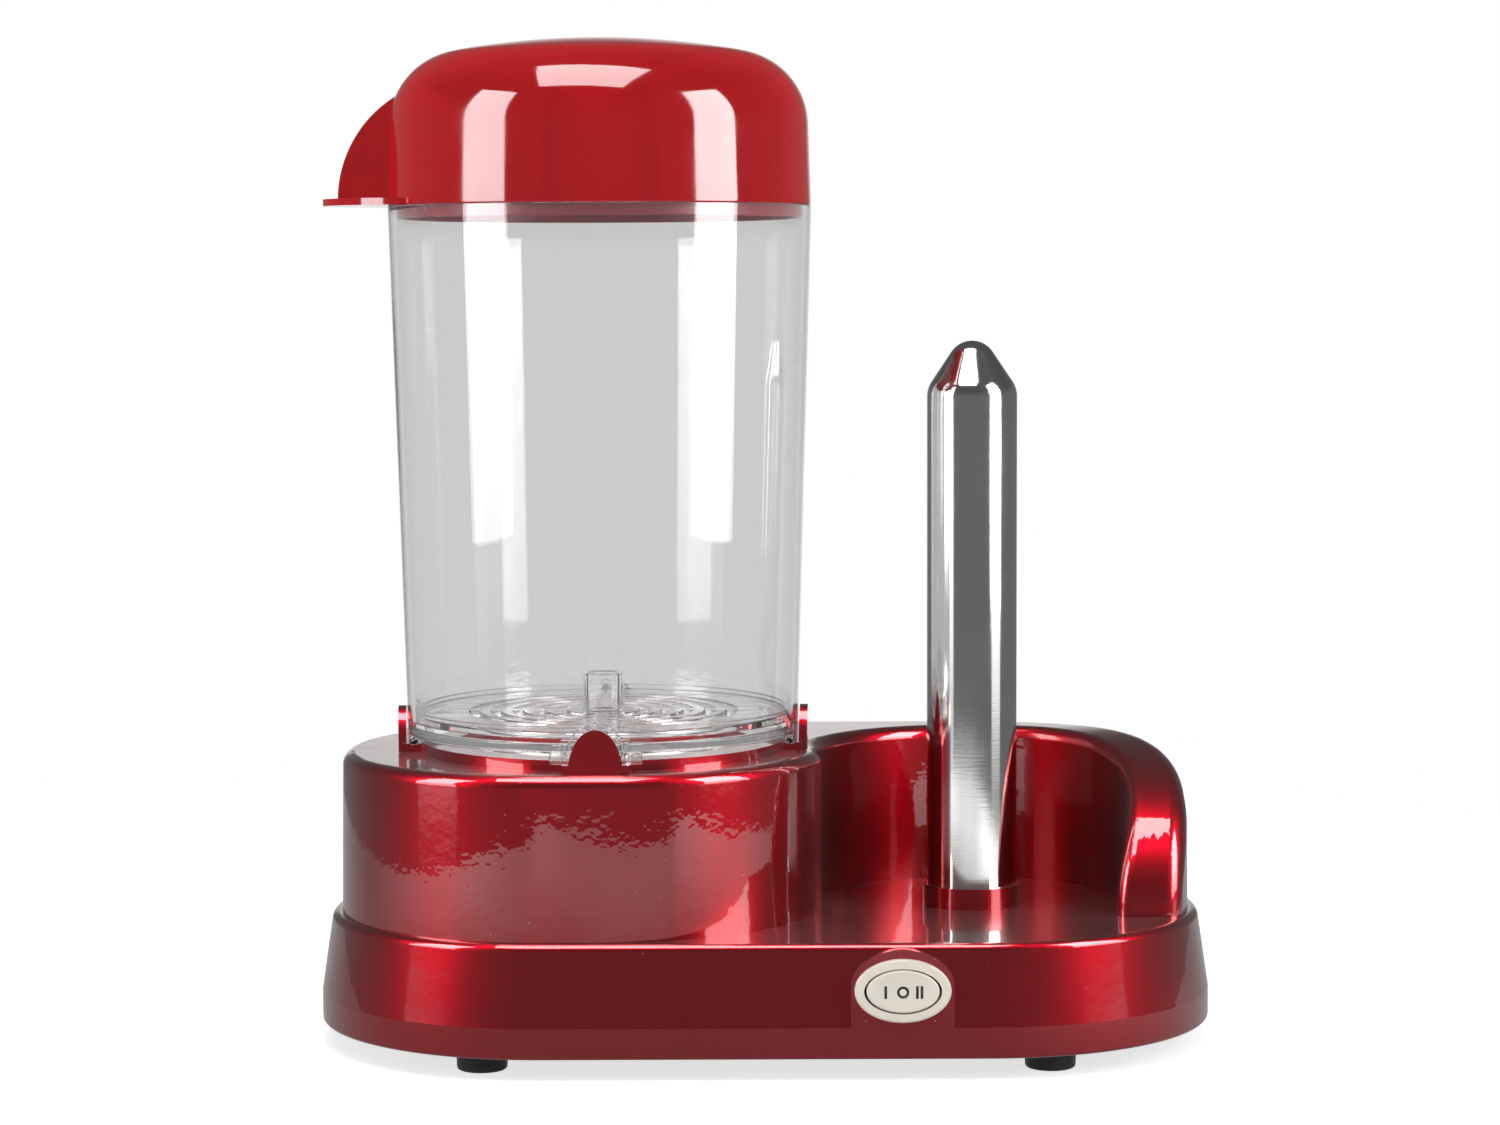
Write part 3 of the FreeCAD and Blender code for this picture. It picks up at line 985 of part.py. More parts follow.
saddle_outer = box("saddle_outer", "Size.fuse_saddle_width", "2 * Size.fuse_radius + 2 * Size.fuse_saddle",
                   saddle_height, BOILER_X, "Size.fuse_y", f"{SPREADER_BOTTOM} - ({saddle_height})")
saddle_wings = box("saddle_wings", "Size.fuse_saddle_width",
                   "2 * (Size.fuse_radius + Size.fuse_saddle + Size.fuse_saddle_wing)", "Size.fuse_saddle", BOILER_X,
                   "Size.fuse_y", f"{SPREADER_BOTTOM} - Size.fuse_saddle")
saddle_room = box("saddle_room", "2 * Size.fuse_saddle_width", "2 * Size.fuse_radius", "4 * Size.fuse_radius",
                  BOILER_X, "Size.fuse_y", f"{SPREADER_BOTTOM} - 2 * Size.fuse_radius")
node(cut("saddle_part", fuse("saddle_solid", [saddle_outer, saddle_wings]), saddle_room), "fuse_saddle")

# Bread spike: a steel tube closed by a rounded cone, held from below by its flange.
SPIKE_TOP = f"({FLOOR} + Size.spike_rise)"
TIP_CENTRE = f"({SPIKE_TOP} - Size.spike_tip_round)"


def spike_side(gap):
    """Radius and height of the tip's tangent point and of the shoulder, for the skin moved in by gap."""
    tip = f"(Size.spike_tip_round - {gap})"
    touch = (f"{tip} * cos(Size.spike_tip_angle)", f"{TIP_CENTRE} + {tip} * sin(Size.spike_tip_angle)")
    shoulder = (f"Size.spike_radius - {gap}",
                f"{touch[1]} - (Size.spike_radius - {gap} - {touch[0]}) / tan(Size.spike_tip_angle)")
    return touch, shoulder


outer_touch, outer_shoulder = spike_side("0")
inner_touch, inner_shoulder = spike_side("Size.spike_wall")
spike = body_at("spike_body", SPIKE_X)
turned(spike, "spike_form", [
    ("Size.spike_radius - Size.spike_wall", SPIKE_FOOT),
    (SPIKE_FLANGE, SPIKE_FOOT),
    (SPIKE_FLANGE, CEILING),
    ("Size.spike_radius", CEILING),
    outer_shoulder,
    (*outer_touch, "0", TIP_CENTRE, "left"),
    ("0", SPIKE_TOP),
    ("0", f"{SPIKE_TOP} - Size.spike_wall", "0", TIP_CENTRE, "right"),
    inner_touch,
    inner_shoulder,
])
rounding(spike, "spike_shoulder_edge", "Size.spike_shoulder_round",
         lambda p: near(p.z, outer_shoulder[1]) and math.hypot(p.x, p.y) > value("Size.spike_radius") - 0.1)
node(spike, "bread_spike")

CLAMP_BAR_BOTTOM = f"{SPIKE_FOOT} - Size.spike_clamp_thickness"
bar = box("spike_bar", "Size.spike_clamp_width", f"2 * {SPIKE_SCREW_Y} + Size.spike_clamp_width",
          "Size.spike_clamp_thickness", SPIKE_X, "0", CLAMP_BAR_BOTTOM)
bar_holes = [
    cylinder(f"bar_hole_{index}", "Size.screw_hole_radius", "Size.spike_clamp_thickness + 2", SPIKE_X,
             f"{side}{SPIKE_SCREW_Y}", f"{CLAMP_BAR_BOTTOM} - 1")
    for index, side in enumerate(("-", ""))
]
bar_holes.append(cylinder("bar_wire_hole", "3 * Size.wire_radius", "Size.spike_clamp_thickness + 2",
                          SPIKE_X, "0", f"{CLAMP_BAR_BOTTOM} - 1"))
node(cut("bar_part", bar, fuse("bar_openings", bar_holes)), "spike_clamp")
screws("spike_screws", [(SPIKE_X, f"{side}{SPIKE_SCREW_Y}", CLAMP_BAR_BOTTOM) for side in ("-", "")],
       "Size.spike_clamp_thickness + Size.spike_flange_thickness + Size.shell_wall * 0.6")

CERAMIC_RADIUS = "Size.spike_radius - Size.spike_wall - Size.insulator_gap"
CARTRIDGE_FOOT = f"{SPIKE_FOOT} + Size.insulator_height - Size.cartridge_seat"
CARTRIDGE_TOP = f"{CARTRIDGE_FOOT} + Size.cartridge_length"
foot_ceramic = cylinder("foot_ceramic", CERAMIC_RADIUS, "Size.insulator_height", SPIKE_X, "0", SPIKE_FOOT)
foot_seat = cylinder("foot_seat", "Size.cartridge_radius", "Size.insulator_height", SPIKE_X, "0",
                     CARTRIDGE_FOOT)
foot_bore = cylinder("foot_bore", "3 * Size.wire_radius", "Size.insulator_height", SPIKE_X, "0",
                     f"{SPIKE_FOOT} - 1")
node(cut("foot_ceramic_part", foot_ceramic, fuse("foot_ceramic_room", [foot_seat, foot_bore])), "spike_insulator")
node(cylinder("cartridge_part", "Size.cartridge_radius", "Size.cartridge_length", SPIKE_X, "0",
              CARTRIDGE_FOOT), "spike_heater")
cap_ceramic = cylinder("cap_ceramic", CERAMIC_RADIUS, "Size.insulator_height", SPIKE_X, "0",
                       f"{CARTRIDGE_TOP} - Size.cartridge_seat")
cap_seat = cylinder("cap_seat", "Size.cartridge_radius", "Size.cartridge_seat + 1", SPIKE_X, "0",
                    f"{CARTRIDGE_TOP} - Size.cartridge_seat - 1")
node(cut("cap_ceramic_part", cap_ceramic, cap_seat), "spike_heater_cap")

# Container: a clear tapering vessel on four legs, with a ledge for the tray and a neck for the lid.
SHOULDER_RADIUS = "(Size.container_foot_radius + Size.container_flare)"
INNER_FOOT = "Size.container_foot_radius - Size.container_wall"
NECK_RADIUS = f"({SHOULDER_RADIUS} - Size.neck_step)"
NECK_INNER = f"({NECK_RADIUS} - Size.neck_wall)"
NECK_TOP = f"{SHOULDER} + Size.neck_height"
LEDGE = f"({PAD_TOP} + Size.ledge_rise)"


def inner_wall(height):
    """Inside radius of the container at a height."""
    return f"{INNER_FOOT} + ({height} - {PAD_TOP}) * Size.container_flare / Size.container_height"


LEDGE_BOTTOM = f"({LEDGE} - Size.ledge_thickness)"
container = body_at("container_body", BOILER_X)
turned(container, "container_form", [
    (INNER_FOOT, PAD_TOP),
    ("Size.container_foot_radius", PAD_TOP),
    (SHOULDER_RADIUS, SHOULDER),
    (NECK_RADIUS, SHOULDER),
    (NECK_RADIUS, NECK_TOP),
    (NECK_INNER, NECK_TOP),
    (NECK_INNER, f"{SHOULDER} - Size.neck_bevel"),
    (inner_wall(LEDGE), LEDGE),
    (f"{inner_wall(LEDGE)} - Size.ledge_width", LEDGE),
    (f"{inner_wall(LEDGE)} - Size.ledge_width", LEDGE_BOTTOM),
    (inner_wall(f"({LEDGE_BOTTOM} - Size.ledge_bevel)"), f"{LEDGE_BOTTOM} - Size.ledge_bevel"),
])
legs = sketch_on(container, "leg_gaps_outline", "XY_Plane", f"{PAD_TOP} - 1")
for index, (x, y) in enumerate((("", ""), ("-", ""), ("-", "-"), ("", "-"))):
    near_x = f"{x}Size.container_leg / 2"
    near_y = f"{y}Size.container_leg / 2"
    far_x = f"{x}1.2 * {SHOULDER_RADIUS}"
    far_y = f"{y}1.2 * {SHOULDER_RADIUS}"
    draw(legs, [(near_x, near_y), (far_x, near_y), (far_x, far_y), (near_x, far_y)], f"_gap{index}")
pocket(container, "leg_gaps", legs, "Size.container_leg_height + 1", upwards=True)
node(container, "container")

# Sausage tray: a clear disc with rings of slots, an upstand and a hollow post to lift it by.
TRAY_RADIUS = f"({inner_wall(LEDGE)} - Size.tray_gap)"
TRAY_TOP = f"{LEDGE} + Size.tray_thickness"
SLOTS_OUTSIDE = f"({TRAY_RADIUS} - Size.tray_margin)"
tray_disc = cylinder("tray_disc", TRAY_RADIUS, "Size.tray_thickness", BOILER_X, "0", LEDGE)
tray_rings = []
for ring in range(int(value("Size.tray_slot_rings"))):
    outer = f"{SLOTS_OUTSIDE} - {ring} * Size.tray_slot_pitch"
    tray_rings.append(tube(f"tray_slot_ring_{ring}", outer, f"{outer} - Size.tray_slot_width",
                           "Size.tray_thickness + 2", BOILER_X, "0", f"{LEDGE} - 1"))
tray_parts = [cut("tray_pierced", tray_disc, fuse("tray_slots", tray_rings))]
for name, wide, deep in (("x", f"2 * {SLOTS_OUTSIDE}", "Size.tray_spoke"),
                         ("y", "Size.tray_spoke", f"2 * {SLOTS_OUTSIDE}")):
    tray_parts.append(box(f"tray_spoke_{name}", wide, deep, "Size.tray_thickness", BOILER_X, "0", LEDGE))
tray_parts.append(tube("tray_rim", TRAY_RADIUS, f"{TRAY_RADIUS} - Size.tray_rim_width",
                       "Size.tray_thickness + Size.tray_rim_height", BOILER_X, "0", LEDGE))
tray_parts.append(cylinder("tray_post", "Size.tray_post_radius", "Size.tray_thickness + Size.tray_post_height",
                           BOILER_X, "0", LEDGE))
post_bore = cylinder("tray_post_hollow", "Size.tray_post_radius - Size.tray_post_wall", "2 * Size.tray_post_height",
                     BOILER_X, "0", TRAY_TOP)
node(cut("tray_part", fuse("tray_joined", tray_parts), post_bore), "sausage_tray")

# Lid: a dome with a fin and a thumb flange on its left, and a ring inside that enters the neck.
LID_TOP = f"({SHOULDER} + Size.lid_height)"
CROWN_CENTRE = f"({LID_TOP} - Size.lid_crown)"
SIDE_TOP = f"({SHOULDER_RADIUS} - Size.lid_draft)"
SIDE_TOP_HEIGHT = f"{CROWN_CENTRE} + sqrt(Size.lid_crown ^ 2 - {SIDE_TOP} ^ 2)"
RING_OUTER = f"{NECK_INNER} - Size.lid_neck_gap"
RING_INNER = f"{RING_OUTER} - Size.lid_ring_width"
SLOT_TOP = f"{NECK_TOP} + Size.lid_neck_gap"
lid = body_at("lid_body", BOILER_X)
turned(lid, "lid_dome", [
    ("0", f"{SHOULDER} - Size.lid_ring_drop"),
    (RING_OUTER, f"{SHOULDER} - Size.lid_ring_drop"),
    (RING_OUTER, SHOULDER),
    (SHOULDER_RADIUS, SHOULDER),
    (SIDE_TOP, SIDE_TOP_HEIGHT, "0", CROWN_CENTRE, "left"),
    ("0", LID_TOP),
])
rounding(lid, "lid_shoulder_edge", "Size.lid_shoulder", lambda p: near(p.z, SIDE_TOP_HEIGHT))
fin_sketch = sketch_on(lid, "fin_outline", "XZ_Plane")
FIN_CENTRE_HEIGHT = f"({SHOULDER} + Size.fin_rise)"
draw(fin_sketch, [
    ("-Size.fin_centre", f"{FIN_CENTRE_HEIGHT} + Size.fin_radius", "-Size.fin_centre", FIN_CENTRE_HEIGHT, "left"),
    ("-Size.fin_centre - Size.fin_radius", FIN_CENTRE_HEIGHT),
    ("-Size.fin_centre - Size.fin_radius", f"{SHOULDER} + Size.flange_thickness / 2"),
    ("-Size.fin_centre", f"{SHOULDER} + Size.flange_thickness / 2"),
])
pad(lid, "fin", fin_sketch, "Size.fin_thickness", midplane=True)
flange_sketch = sketch_on(lid, "flange_outline", "XY_Plane", SHOULDER)
draw(flange_sketch, [
    ("-Size.fin_centre", "Size.flange_radius"),
    ("-Size.flange_centre", "Size.flange_radius", "-Size.flange_centre", "0", "left"),
    ("-Size.flange_centre", "-Size.flange_radius"),
    ("-Size.fin_centre", "-Size.flange_radius"),
])
pad(lid, "flange", flange_sketch, "Size.flange_thickness")
turned(lid, "neck_slot", [
    (RING_OUTER, f"{SHOULDER} - 2 * Size.lid_ring_drop"),
    (f"{NECK_RADIUS} + Size.lid_neck_gap", f"{SHOULDER} - 2 * Size.lid_ring_drop"),
    (f"{NECK_RADIUS} + Size.lid_neck_gap", SLOT_TOP),
    (RING_OUTER, SLOT_TOP),
], "PartDesign::Groove")
INSIDE_TOP = f"({SIDE_TOP} - Size.lid_wall)"
INSIDE_CROWN = "(Size.lid_crown - Size.lid_wall)"
INSIDE_TOP_HEIGHT = f"{CROWN_CENTRE} + sqrt({INSIDE_CROWN} ^ 2 - {INSIDE_TOP} ^ 2)"
lid_room = body_at("lid_room", BOILER_X)
turned(lid_room, "lid_room_dome", [
    ("0", f"{SHOULDER} - 2 * Size.lid_ring_drop"),
    (RING_INNER, f"{SHOULDER} - 2 * Size.lid_ring_drop"),
    (RING_INNER, f"{SHOULDER} + Size.lid_step_height - Size.lid_step_bevel"),
    (f"{SHOULDER_RADIUS} - Size.lid_wall", f"{SHOULDER} + Size.lid_step_height"),
    (INSIDE_TOP, INSIDE_TOP_HEIGHT, "0", CROWN_CENTRE, "left"),
    ("0", f"{LID_TOP} - Size.lid_wall"),
])
rounding(lid_room, "lid_room_shoulder", "Size.lid_shoulder - Size.lid_wall",
         lambda p: near(p.z, INSIDE_TOP_HEIGHT))
node(cut("lid_part", lid, lid_room), "lid")

# Mains entry: a gland in the back wall, a saddle that grips the cord, and the terminal block.
gland_solid = fuse("gland_solid", [
    cylinder("gland_outer", f"{GLAND_BARREL} + Size.gland_lip", "Size.gland_proud", "Size.gland_x", GLAND_SEAT,
             GLAND_HEIGHT, "y"),
    cylinder("gland_barrel", GLAND_BARREL, "Size.gland_length + Size.gland_proud", "Size.gland_x",
             f"{GLAND_SEAT} - Size.gland_length", GLAND_HEIGHT, "y"),
])
gland_bore = cylinder("gland_bore", "Size.gland_bore", "Size.gland_length + Size.gland_proud + 2", "Size.gland_x",
                      f"{GLAND_SEAT} - Size.gland_length - 1", GLAND_HEIGHT, "y")
node(cut("gland_part", gland_solid, gland_bore), "cord_gland")
saddle_block = box("cord_saddle", "Size.clamp_width", "Size.clamp_length", "Size.clamp_height", "Size.gland_x",
                   CLAMP_Y, CLAMP_SEAT)
saddle_cuts = [cylinder("cord_saddle_groove", "Size.gland_bore", "Size.clamp_length + 2", "Size.gland_x",
                        f"{CLAMP_Y} - Size.clamp_length / 2 - 1", CLAMP_SEAT, "y")]
for index, x in enumerate(clamp_places):
    saddle_cuts.append(cylinder(f"cord_saddle_hole_{index}", "Size.screw_hole_radius", "Size.clamp_height + 2",
                                x, CLAMP_Y, f"{CLAMP_SEAT} - 1"))
node(cut("cord_saddle_part", saddle_block, fuse("cord_saddle_openings", saddle_cuts)), "cord_clamp")
fixings = []
for index, x in enumerate(clamp_places):
    fixings.append(fuse(f"cord_clamp_screw_{index}", [
        cylinder(f"cord_clamp_head_{index}", "Size.head_radius", "Size.head_height", x, CLAMP_Y,
                 f"{CLAMP_SEAT} + Size.clamp_height"),
        cylinder(f"cord_clamp_shank_{index}", "Size.screw_radius", "Size.clamp_fixing_length", x, CLAMP_Y,
                 f"{CLAMP_SEAT} + Size.clamp_height - Size.clamp_fixing_length"),
    ]))
fixing_group = doc.addObject("Part::Compound", "cord_clamp_fixings")
fixing_group.Links = fixings
node(fixing_group, "cord_clamp_screws")

BLOCK_Y = f"({HALF_DEPTH} - Size.block_from_back)"
block_solid = box("block_solid", "Size.block_width", "Size.block_length", "Size.block_height", "Size.gland_x",
                  BLOCK_Y, PLATE_TOP)
BORE_HEIGHT = f"{PLATE_TOP} + Size.block_bore_rise"
BLOCK_TOP = f"{PLATE_TOP} + Size.block_height"
ways = []
block_cuts = []
block_fixings = []
for index in range(int(value("Size.block_ways"))):
    x = f"Size.gland_x + ({index} - (Size.block_ways - 1) / 2) * Size.block_pitch"
    ways.append(x)
    block_cuts.append(cylinder(f"block_bore_{index}", "Size.block_bore", "Size.block_length + 2", x,
                               f"{BLOCK_Y} - Size.block_length / 2 - 1", BORE_HEIGHT, "y"))
    for end, side in enumerate(("-", "+")):
        y = f"{BLOCK_Y} {side} Size.block_length / 4"
        block_cuts.append(cylinder(f"block_well_{index}_{end}", "Size.block_screw_radius", "Size.block_height", x, y,
                                   f"{BLOCK_TOP} - Size.block_screw_height - Size.block_screw_sink"))
        block_fixings.append(cylinder(f"block_screw_{index}_{end}", "Size.block_screw_radius",
                                      "Size.block_screw_height", x, y,
                                      f"{BLOCK_TOP} - Size.block_screw_height - Size.block_screw_sink"))
node(cut("block_part", block_solid, fuse("block_openings", block_cuts)), "terminal_block")
block_screw_group = doc.addObject("Part::Compound", "block_screw_group")
block_screw_group.Links = block_fixings
node(block_screw_group, "terminal_screws")

doc.recompute()


# Inner wiring: each wire is straight runs joined by tangent arcs.
def wire(label, route):
    """A round wire along a route of corner points."""
    points = [Vector(*(value(number) for number in corner)) for corner in route]
    edges = []
    start = points[0]
    radii = []
    for before, corner, after in zip(points, points[1:], points[2:]):
        to_before = before - corner
        to_after = after - corner
        shorter = min(to_before.Length, to_after.Length)
        half_turn = (math.pi - to_before.getAngle(to_after)) / 2
        reach = 0.45 * shorter
        radii.append(reach / math.tan(half_turn))
        to_before.normalize()
        to_after.normalize()
        enter = corner + to_before * reach
        leave = corner + to_after * reach
        inward = to_before + to_after
        inward.normalize()
        middle_of_arc = corner + inward * (radii[-1] / math.cos(half_turn) - radii[-1])
        edges.append(Part.LineSegment(start, enter).toShape())
        edges.append(Part.Arc(enter, middle_of_arc, leave).toShape())
        start = leave
    edges.append(Part.LineSegment(start, points[-1]).toShape())
    path = Part.Wire(edges)
    ring = Part.Circle(points[0], points[1] - points[0], value("Size.wire_radius")).toShape()
    solid = path.makePipeShell([Part.Wire([ring])], True, False)
    expected = math.pi * value("Size.wire_radius") ** 2 * path.Length
    radii_text = " ".join(f"{radius:.1f}" for radius in radii)
    print(f"{label}: length {path.Length:.1f}, volume ratio {solid.Volume / expected:.4f}, radii {radii_text}")
    thing = doc.addObject("Part::Feature", label)
    thing.Shape = solid
    return node(thing, label)


BLADE_TIP = f"{CASE_BACK} + Size.blade_length"
WAY_FRONT = f"{BLOCK_Y} - Size.block_length / 2"
TAIL_X = f"{BOILER_X} + {ELEMENT_RADIUS} * cos({ELEMENT_START})"
TAIL_Y = f"{ELEMENT_RADIUS} * sin({ELEMENT_START})"
PIN_TIP = f"{ELEMENT_HEIGHT} - Size.element_tail - Size.element_pin"
BLADE_LEFT = f"{SWITCH_X} - Size.blade_pitch"
BLADE_RIGHT = f"{SWITCH_X} + Size.blade_pitch"
LEAD_GAP = "1.6 * Size.wire_radius"


def step(start, steps):
    """A place that is so many wire bends away from another."""
    return f"{start} + {steps} * Size.wire_bend"


wire("wire_switch_feed", [
    (ways[2], WAY_FRONT, BORE_HEIGHT),
    (ways[2], step(WAY_FRONT, -1.3), step(BORE_HEIGHT, 0.1)),
    (step(ways[2], 0.2), step(WAY_FRONT, -2.9), step(BORE_HEIGHT, 0.8)),
    (step(SWITCH_X, -0.4), step(BLADE_TIP, 2.2), step(SWITCH_HEIGHT, -0.2)),
    (SWITCH_X, step(BLADE_TIP, 1.2), SWITCH_HEIGHT),
    (SWITCH_X, BLADE_TIP, SWITCH_HEIGHT),
])
wire("wire_boiler_live", [
    (BLADE_LEFT, BLADE_TIP, SWITCH_HEIGHT),
    (BLADE_LEFT, step(BLADE_TIP, 1.2), SWITCH_HEIGHT),
    (step(BLADE_LEFT, -1.2), step(BLADE_TIP, 2.4), step(SWITCH_HEIGHT, -0.3)),
    (step(BLADE_LEFT, -3.2), step(BLADE_TIP, 2.4), step(SWITCH_HEIGHT, -0.4)),
    (step(TAIL_X, 1.3), step(f"-({TAIL_Y})", -0.7), step(SWITCH_HEIGHT, -0.2)),
    (TAIL_X, f"-({TAIL_Y})", step(PIN_TIP, -1.8)),
    (TAIL_X, f"-({TAIL_Y})", PIN_TIP),
])
wire("wire_boiler_return", [
    (ways[0], WAY_FRONT, BORE_HEIGHT),
    (ways[0], step(WAY_FRONT, -1.3), BORE_HEIGHT),
    (step(ways[0], -1.5), step(WAY_FRONT, -1.9), step(BORE_HEIGHT, 0.3)),
    (step(TAIL_X, 0.9), step(TAIL_Y, -0.7), step(PIN_TIP, -2.6)),
    (TAIL_X, TAIL_Y, step(PIN_TIP, -1.8)),
    (TAIL_X, TAIL_Y, PIN_TIP),
])
wire("wire_spike_live", [
    (BLADE_RIGHT, BLADE_TIP, SWITCH_HEIGHT),
    (BLADE_RIGHT, step(BLADE_TIP, 1.3), SWITCH_HEIGHT),
    (step(BLADE_RIGHT, 0.9), step(BLADE_TIP, 2.9), step(CARTRIDGE_FOOT, -2)),
    (f"{SPIKE_X} + {LEAD_GAP}", "0", step(CARTRIDGE_FOOT, -2)),
    (f"{SPIKE_X} + {LEAD_GAP}", "0", CARTRIDGE_FOOT),
])
wire("wire_spike_return", [
    (ways[1], WAY_FRONT, BORE_HEIGHT),
    (ways[1], step(WAY_FRONT, -1.4), BORE_HEIGHT),
    (step(ways[1], 1.2), step(WAY_FRONT, -2.9), step(BORE_HEIGHT, 0.1)),
    (step(f"{SPIKE_X} - {LEAD_GAP}", -1.6), step(WAY_FRONT, -2.9), step(BORE_HEIGHT, 0.3)),
    (f"{SPIKE_X} - {LEAD_GAP}", "0", step(CARTRIDGE_FOOT, -1.8)),
    (f"{SPIKE_X} - {LEAD_GAP}", "0", CARTRIDGE_FOOT),
])
doc.recompute()

# Every object and every finished sub-part is checked before anything is written.
for thing in doc.Objects:
    if "Invalid" in thing.State or "Error" in thing.State:
        raise RuntimeError(f"{thing.Name} failed: {thing.State}")
for thing in nodes:
    if thing.Shape.isNull() or not thing.Shape.isValid():
        raise RuntimeError(f"{thing.Label} has no valid shape")
    if not thing.Shape.Solids:
        raise RuntimeError(f"{thing.Label} has no solid")

os.makedirs("parts", exist_ok=True)
for thing in nodes:
    thing.Shape.exportStep(os.path.join("parts", thing.Label + ".step"))
    corner = thing.Shape.BoundBox
    print(f"{thing.Label}: {len(thing.Shape.Solids)} solid(s), volume {thing.Shape.Volume:.0f},",
          f"x {corner.XMin:.1f} {corner.XMax:.1f}, y {corner.YMin:.1f} {corner.YMax:.1f},",
          f"z {corner.ZMin:.1f} {corner.ZMax:.1f}")
print(f"{len(nodes)} sub-parts written")
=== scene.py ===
"""Hot dog steamer: its surfaces and its studio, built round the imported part."""
import math

import bmesh
import bpy
from mathutils import Matrix, Vector


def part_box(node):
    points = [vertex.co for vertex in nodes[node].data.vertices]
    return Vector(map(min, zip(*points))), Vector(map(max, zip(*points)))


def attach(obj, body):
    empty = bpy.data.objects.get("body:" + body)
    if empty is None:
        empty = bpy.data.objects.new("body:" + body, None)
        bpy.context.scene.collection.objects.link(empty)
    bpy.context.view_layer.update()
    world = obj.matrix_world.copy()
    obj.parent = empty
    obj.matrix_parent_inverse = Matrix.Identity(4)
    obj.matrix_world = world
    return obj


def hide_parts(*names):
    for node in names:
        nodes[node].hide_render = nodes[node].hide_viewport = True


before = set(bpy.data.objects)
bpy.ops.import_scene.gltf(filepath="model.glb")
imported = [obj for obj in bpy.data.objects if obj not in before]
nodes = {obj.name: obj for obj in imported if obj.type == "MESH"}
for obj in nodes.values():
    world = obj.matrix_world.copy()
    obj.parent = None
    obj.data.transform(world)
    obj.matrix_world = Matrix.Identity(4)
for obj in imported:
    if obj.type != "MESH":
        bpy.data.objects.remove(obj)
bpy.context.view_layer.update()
scene = bpy.context.scene
collection = scene.collection

# Camera: it stands 1.2 m in front of the steamer, a little under the lid's height, and looks
# slightly down. It leans by a fifth of a degree. Both angles are in radians.
CAMERA_PLACE = (-0.00456, -1.19, 0.2518)
CAMERA_DOWN = 0.08057
CAMERA_LEAN = -0.003744
SENSOR_MM = 36.0
LENS_MM = 87.3
camera_data = bpy.data.cameras.new("camera")
camera_data.sensor_width = SENSOR_MM
camera_data.lens = LENS_MM
camera = bpy.data.objects.new("camera", camera_data)
camera.matrix_world = (Matrix.Translation(CAMERA_PLACE)
                       @ Matrix.Rotation(math.pi / 2 - CAMERA_DOWN, 4, "X")
                       @ Matrix.Rotation(CAMERA_LEAN, 4, "Z"))
collection.objects.link(camera)
scene.camera = camera
scene.view_settings.view_transform = "Standard"

# Table: a white oval board on which the steamer stands. It keeps the steamer's shadow and shows
# white to the camera. Polished surfaces mirror it as a painted glow: painted shade near the steamer,
# brighter towards the front, with a painted pool of light under each upright softbox.
TABLE_MIDDLE = -0.03
TABLE_HALF_WIDTH = 0.52
TABLE_HALF_DEPTH = 0.65
TABLE_CORNERS = 96
MATT_WHITE = 0.8
SEEN_WHITE = 0.72
SOFTBOX_LEFT = (-0.577, -0.308)
SOFTBOX_RIGHT = (0.497, -0.262)
POOL_LEFT = 0.9
POOL_RIGHT = 1.1
POOL_INSIDE = 0.12
POOL_OUTSIDE = 0.46
SHEEN_BACK = -0.15
SHEEN_FRONT = -0.5
SHEEN_LEAST = 0.4
SHEEN_MOST = 1.25


def new_material(name):
    """A material with an empty node tree, its tree and its output."""
    material = bpy.data.materials.new(name)
    material.use_nodes = True
    tree = material.node_tree
    tree.nodes.clear()
    return material, tree, tree.nodes.new("ShaderNodeOutputMaterial")


def add_node(tree, kind, settings=None, **inputs):
    """A node with its settings and its unlinked inputs; an output given as an input is linked."""
    node = tree.nodes.new(kind)
    for name, value in (settings or {}).items():
        setattr(node, name, value)
    for name, value in inputs.items():
        socket = node.inputs[int(name[1:]) if name[0] == "_" else name.replace("_", " ")]
        if isinstance(value, bpy.types.NodeSocket):
            tree.links.new(value, socket)
        else:
            socket.default_value = value
    return node


def math_node(tree, operation, first, second=0.0, third=0.0):
    """The result of one sum on values or outputs."""
    node = add_node(tree, "ShaderNodeMath", {"operation": operation}, _0=first, _1=second, _2=third)
    return node.outputs[0]


def spread(tree, value, low, high, to_low=0.0, to_high=1.0):
    """A value spread smoothly from one range to another."""
    node = add_node(tree, "ShaderNodeMapRange", {"interpolation_type": "SMOOTHSTEP"}, Value=value,
                    From_Min=low, From_Max=high, To_Min=to_low, To_Max=to_high)
    return node.outputs["Result"]


def on_object(tree):
    """The place on the object, in metres."""
    return tree.nodes.new("ShaderNodeTexCoord").outputs["Object"]


def parts_of(tree, place):
    """The X, Y and Z of a place, as named outputs."""
    return add_node(tree, "ShaderNodeSeparateXYZ", Vector=place).outputs


def distance(tree, place, point):
    """How far a place is from a point."""
    node = add_node(tree, "ShaderNodeVectorMath", {"operation": "DISTANCE"}, _0=place, _1=point)
    return node.outputs["Value"]


def new_piece(name, fill):
    """An object at the origin, whose mesh a function fills."""
    form = bmesh.new()
    fill(form)
    mesh = bpy.data.meshes.new(name)
    form.to_mesh(mesh)
    form.free()
    piece = bpy.data.objects.new(name, mesh)
    collection.objects.link(piece)
    return piece


def lay_table(form):
    edge = []
    for index in range(TABLE_CORNERS):
        angle = 2 * math.pi * index / TABLE_CORNERS
        edge.append(form.verts.new((TABLE_MIDDLE + TABLE_HALF_WIDTH * math.cos(angle),
                                    TABLE_HALF_DEPTH * math.sin(angle), 0)))
    form.faces.new(edge)


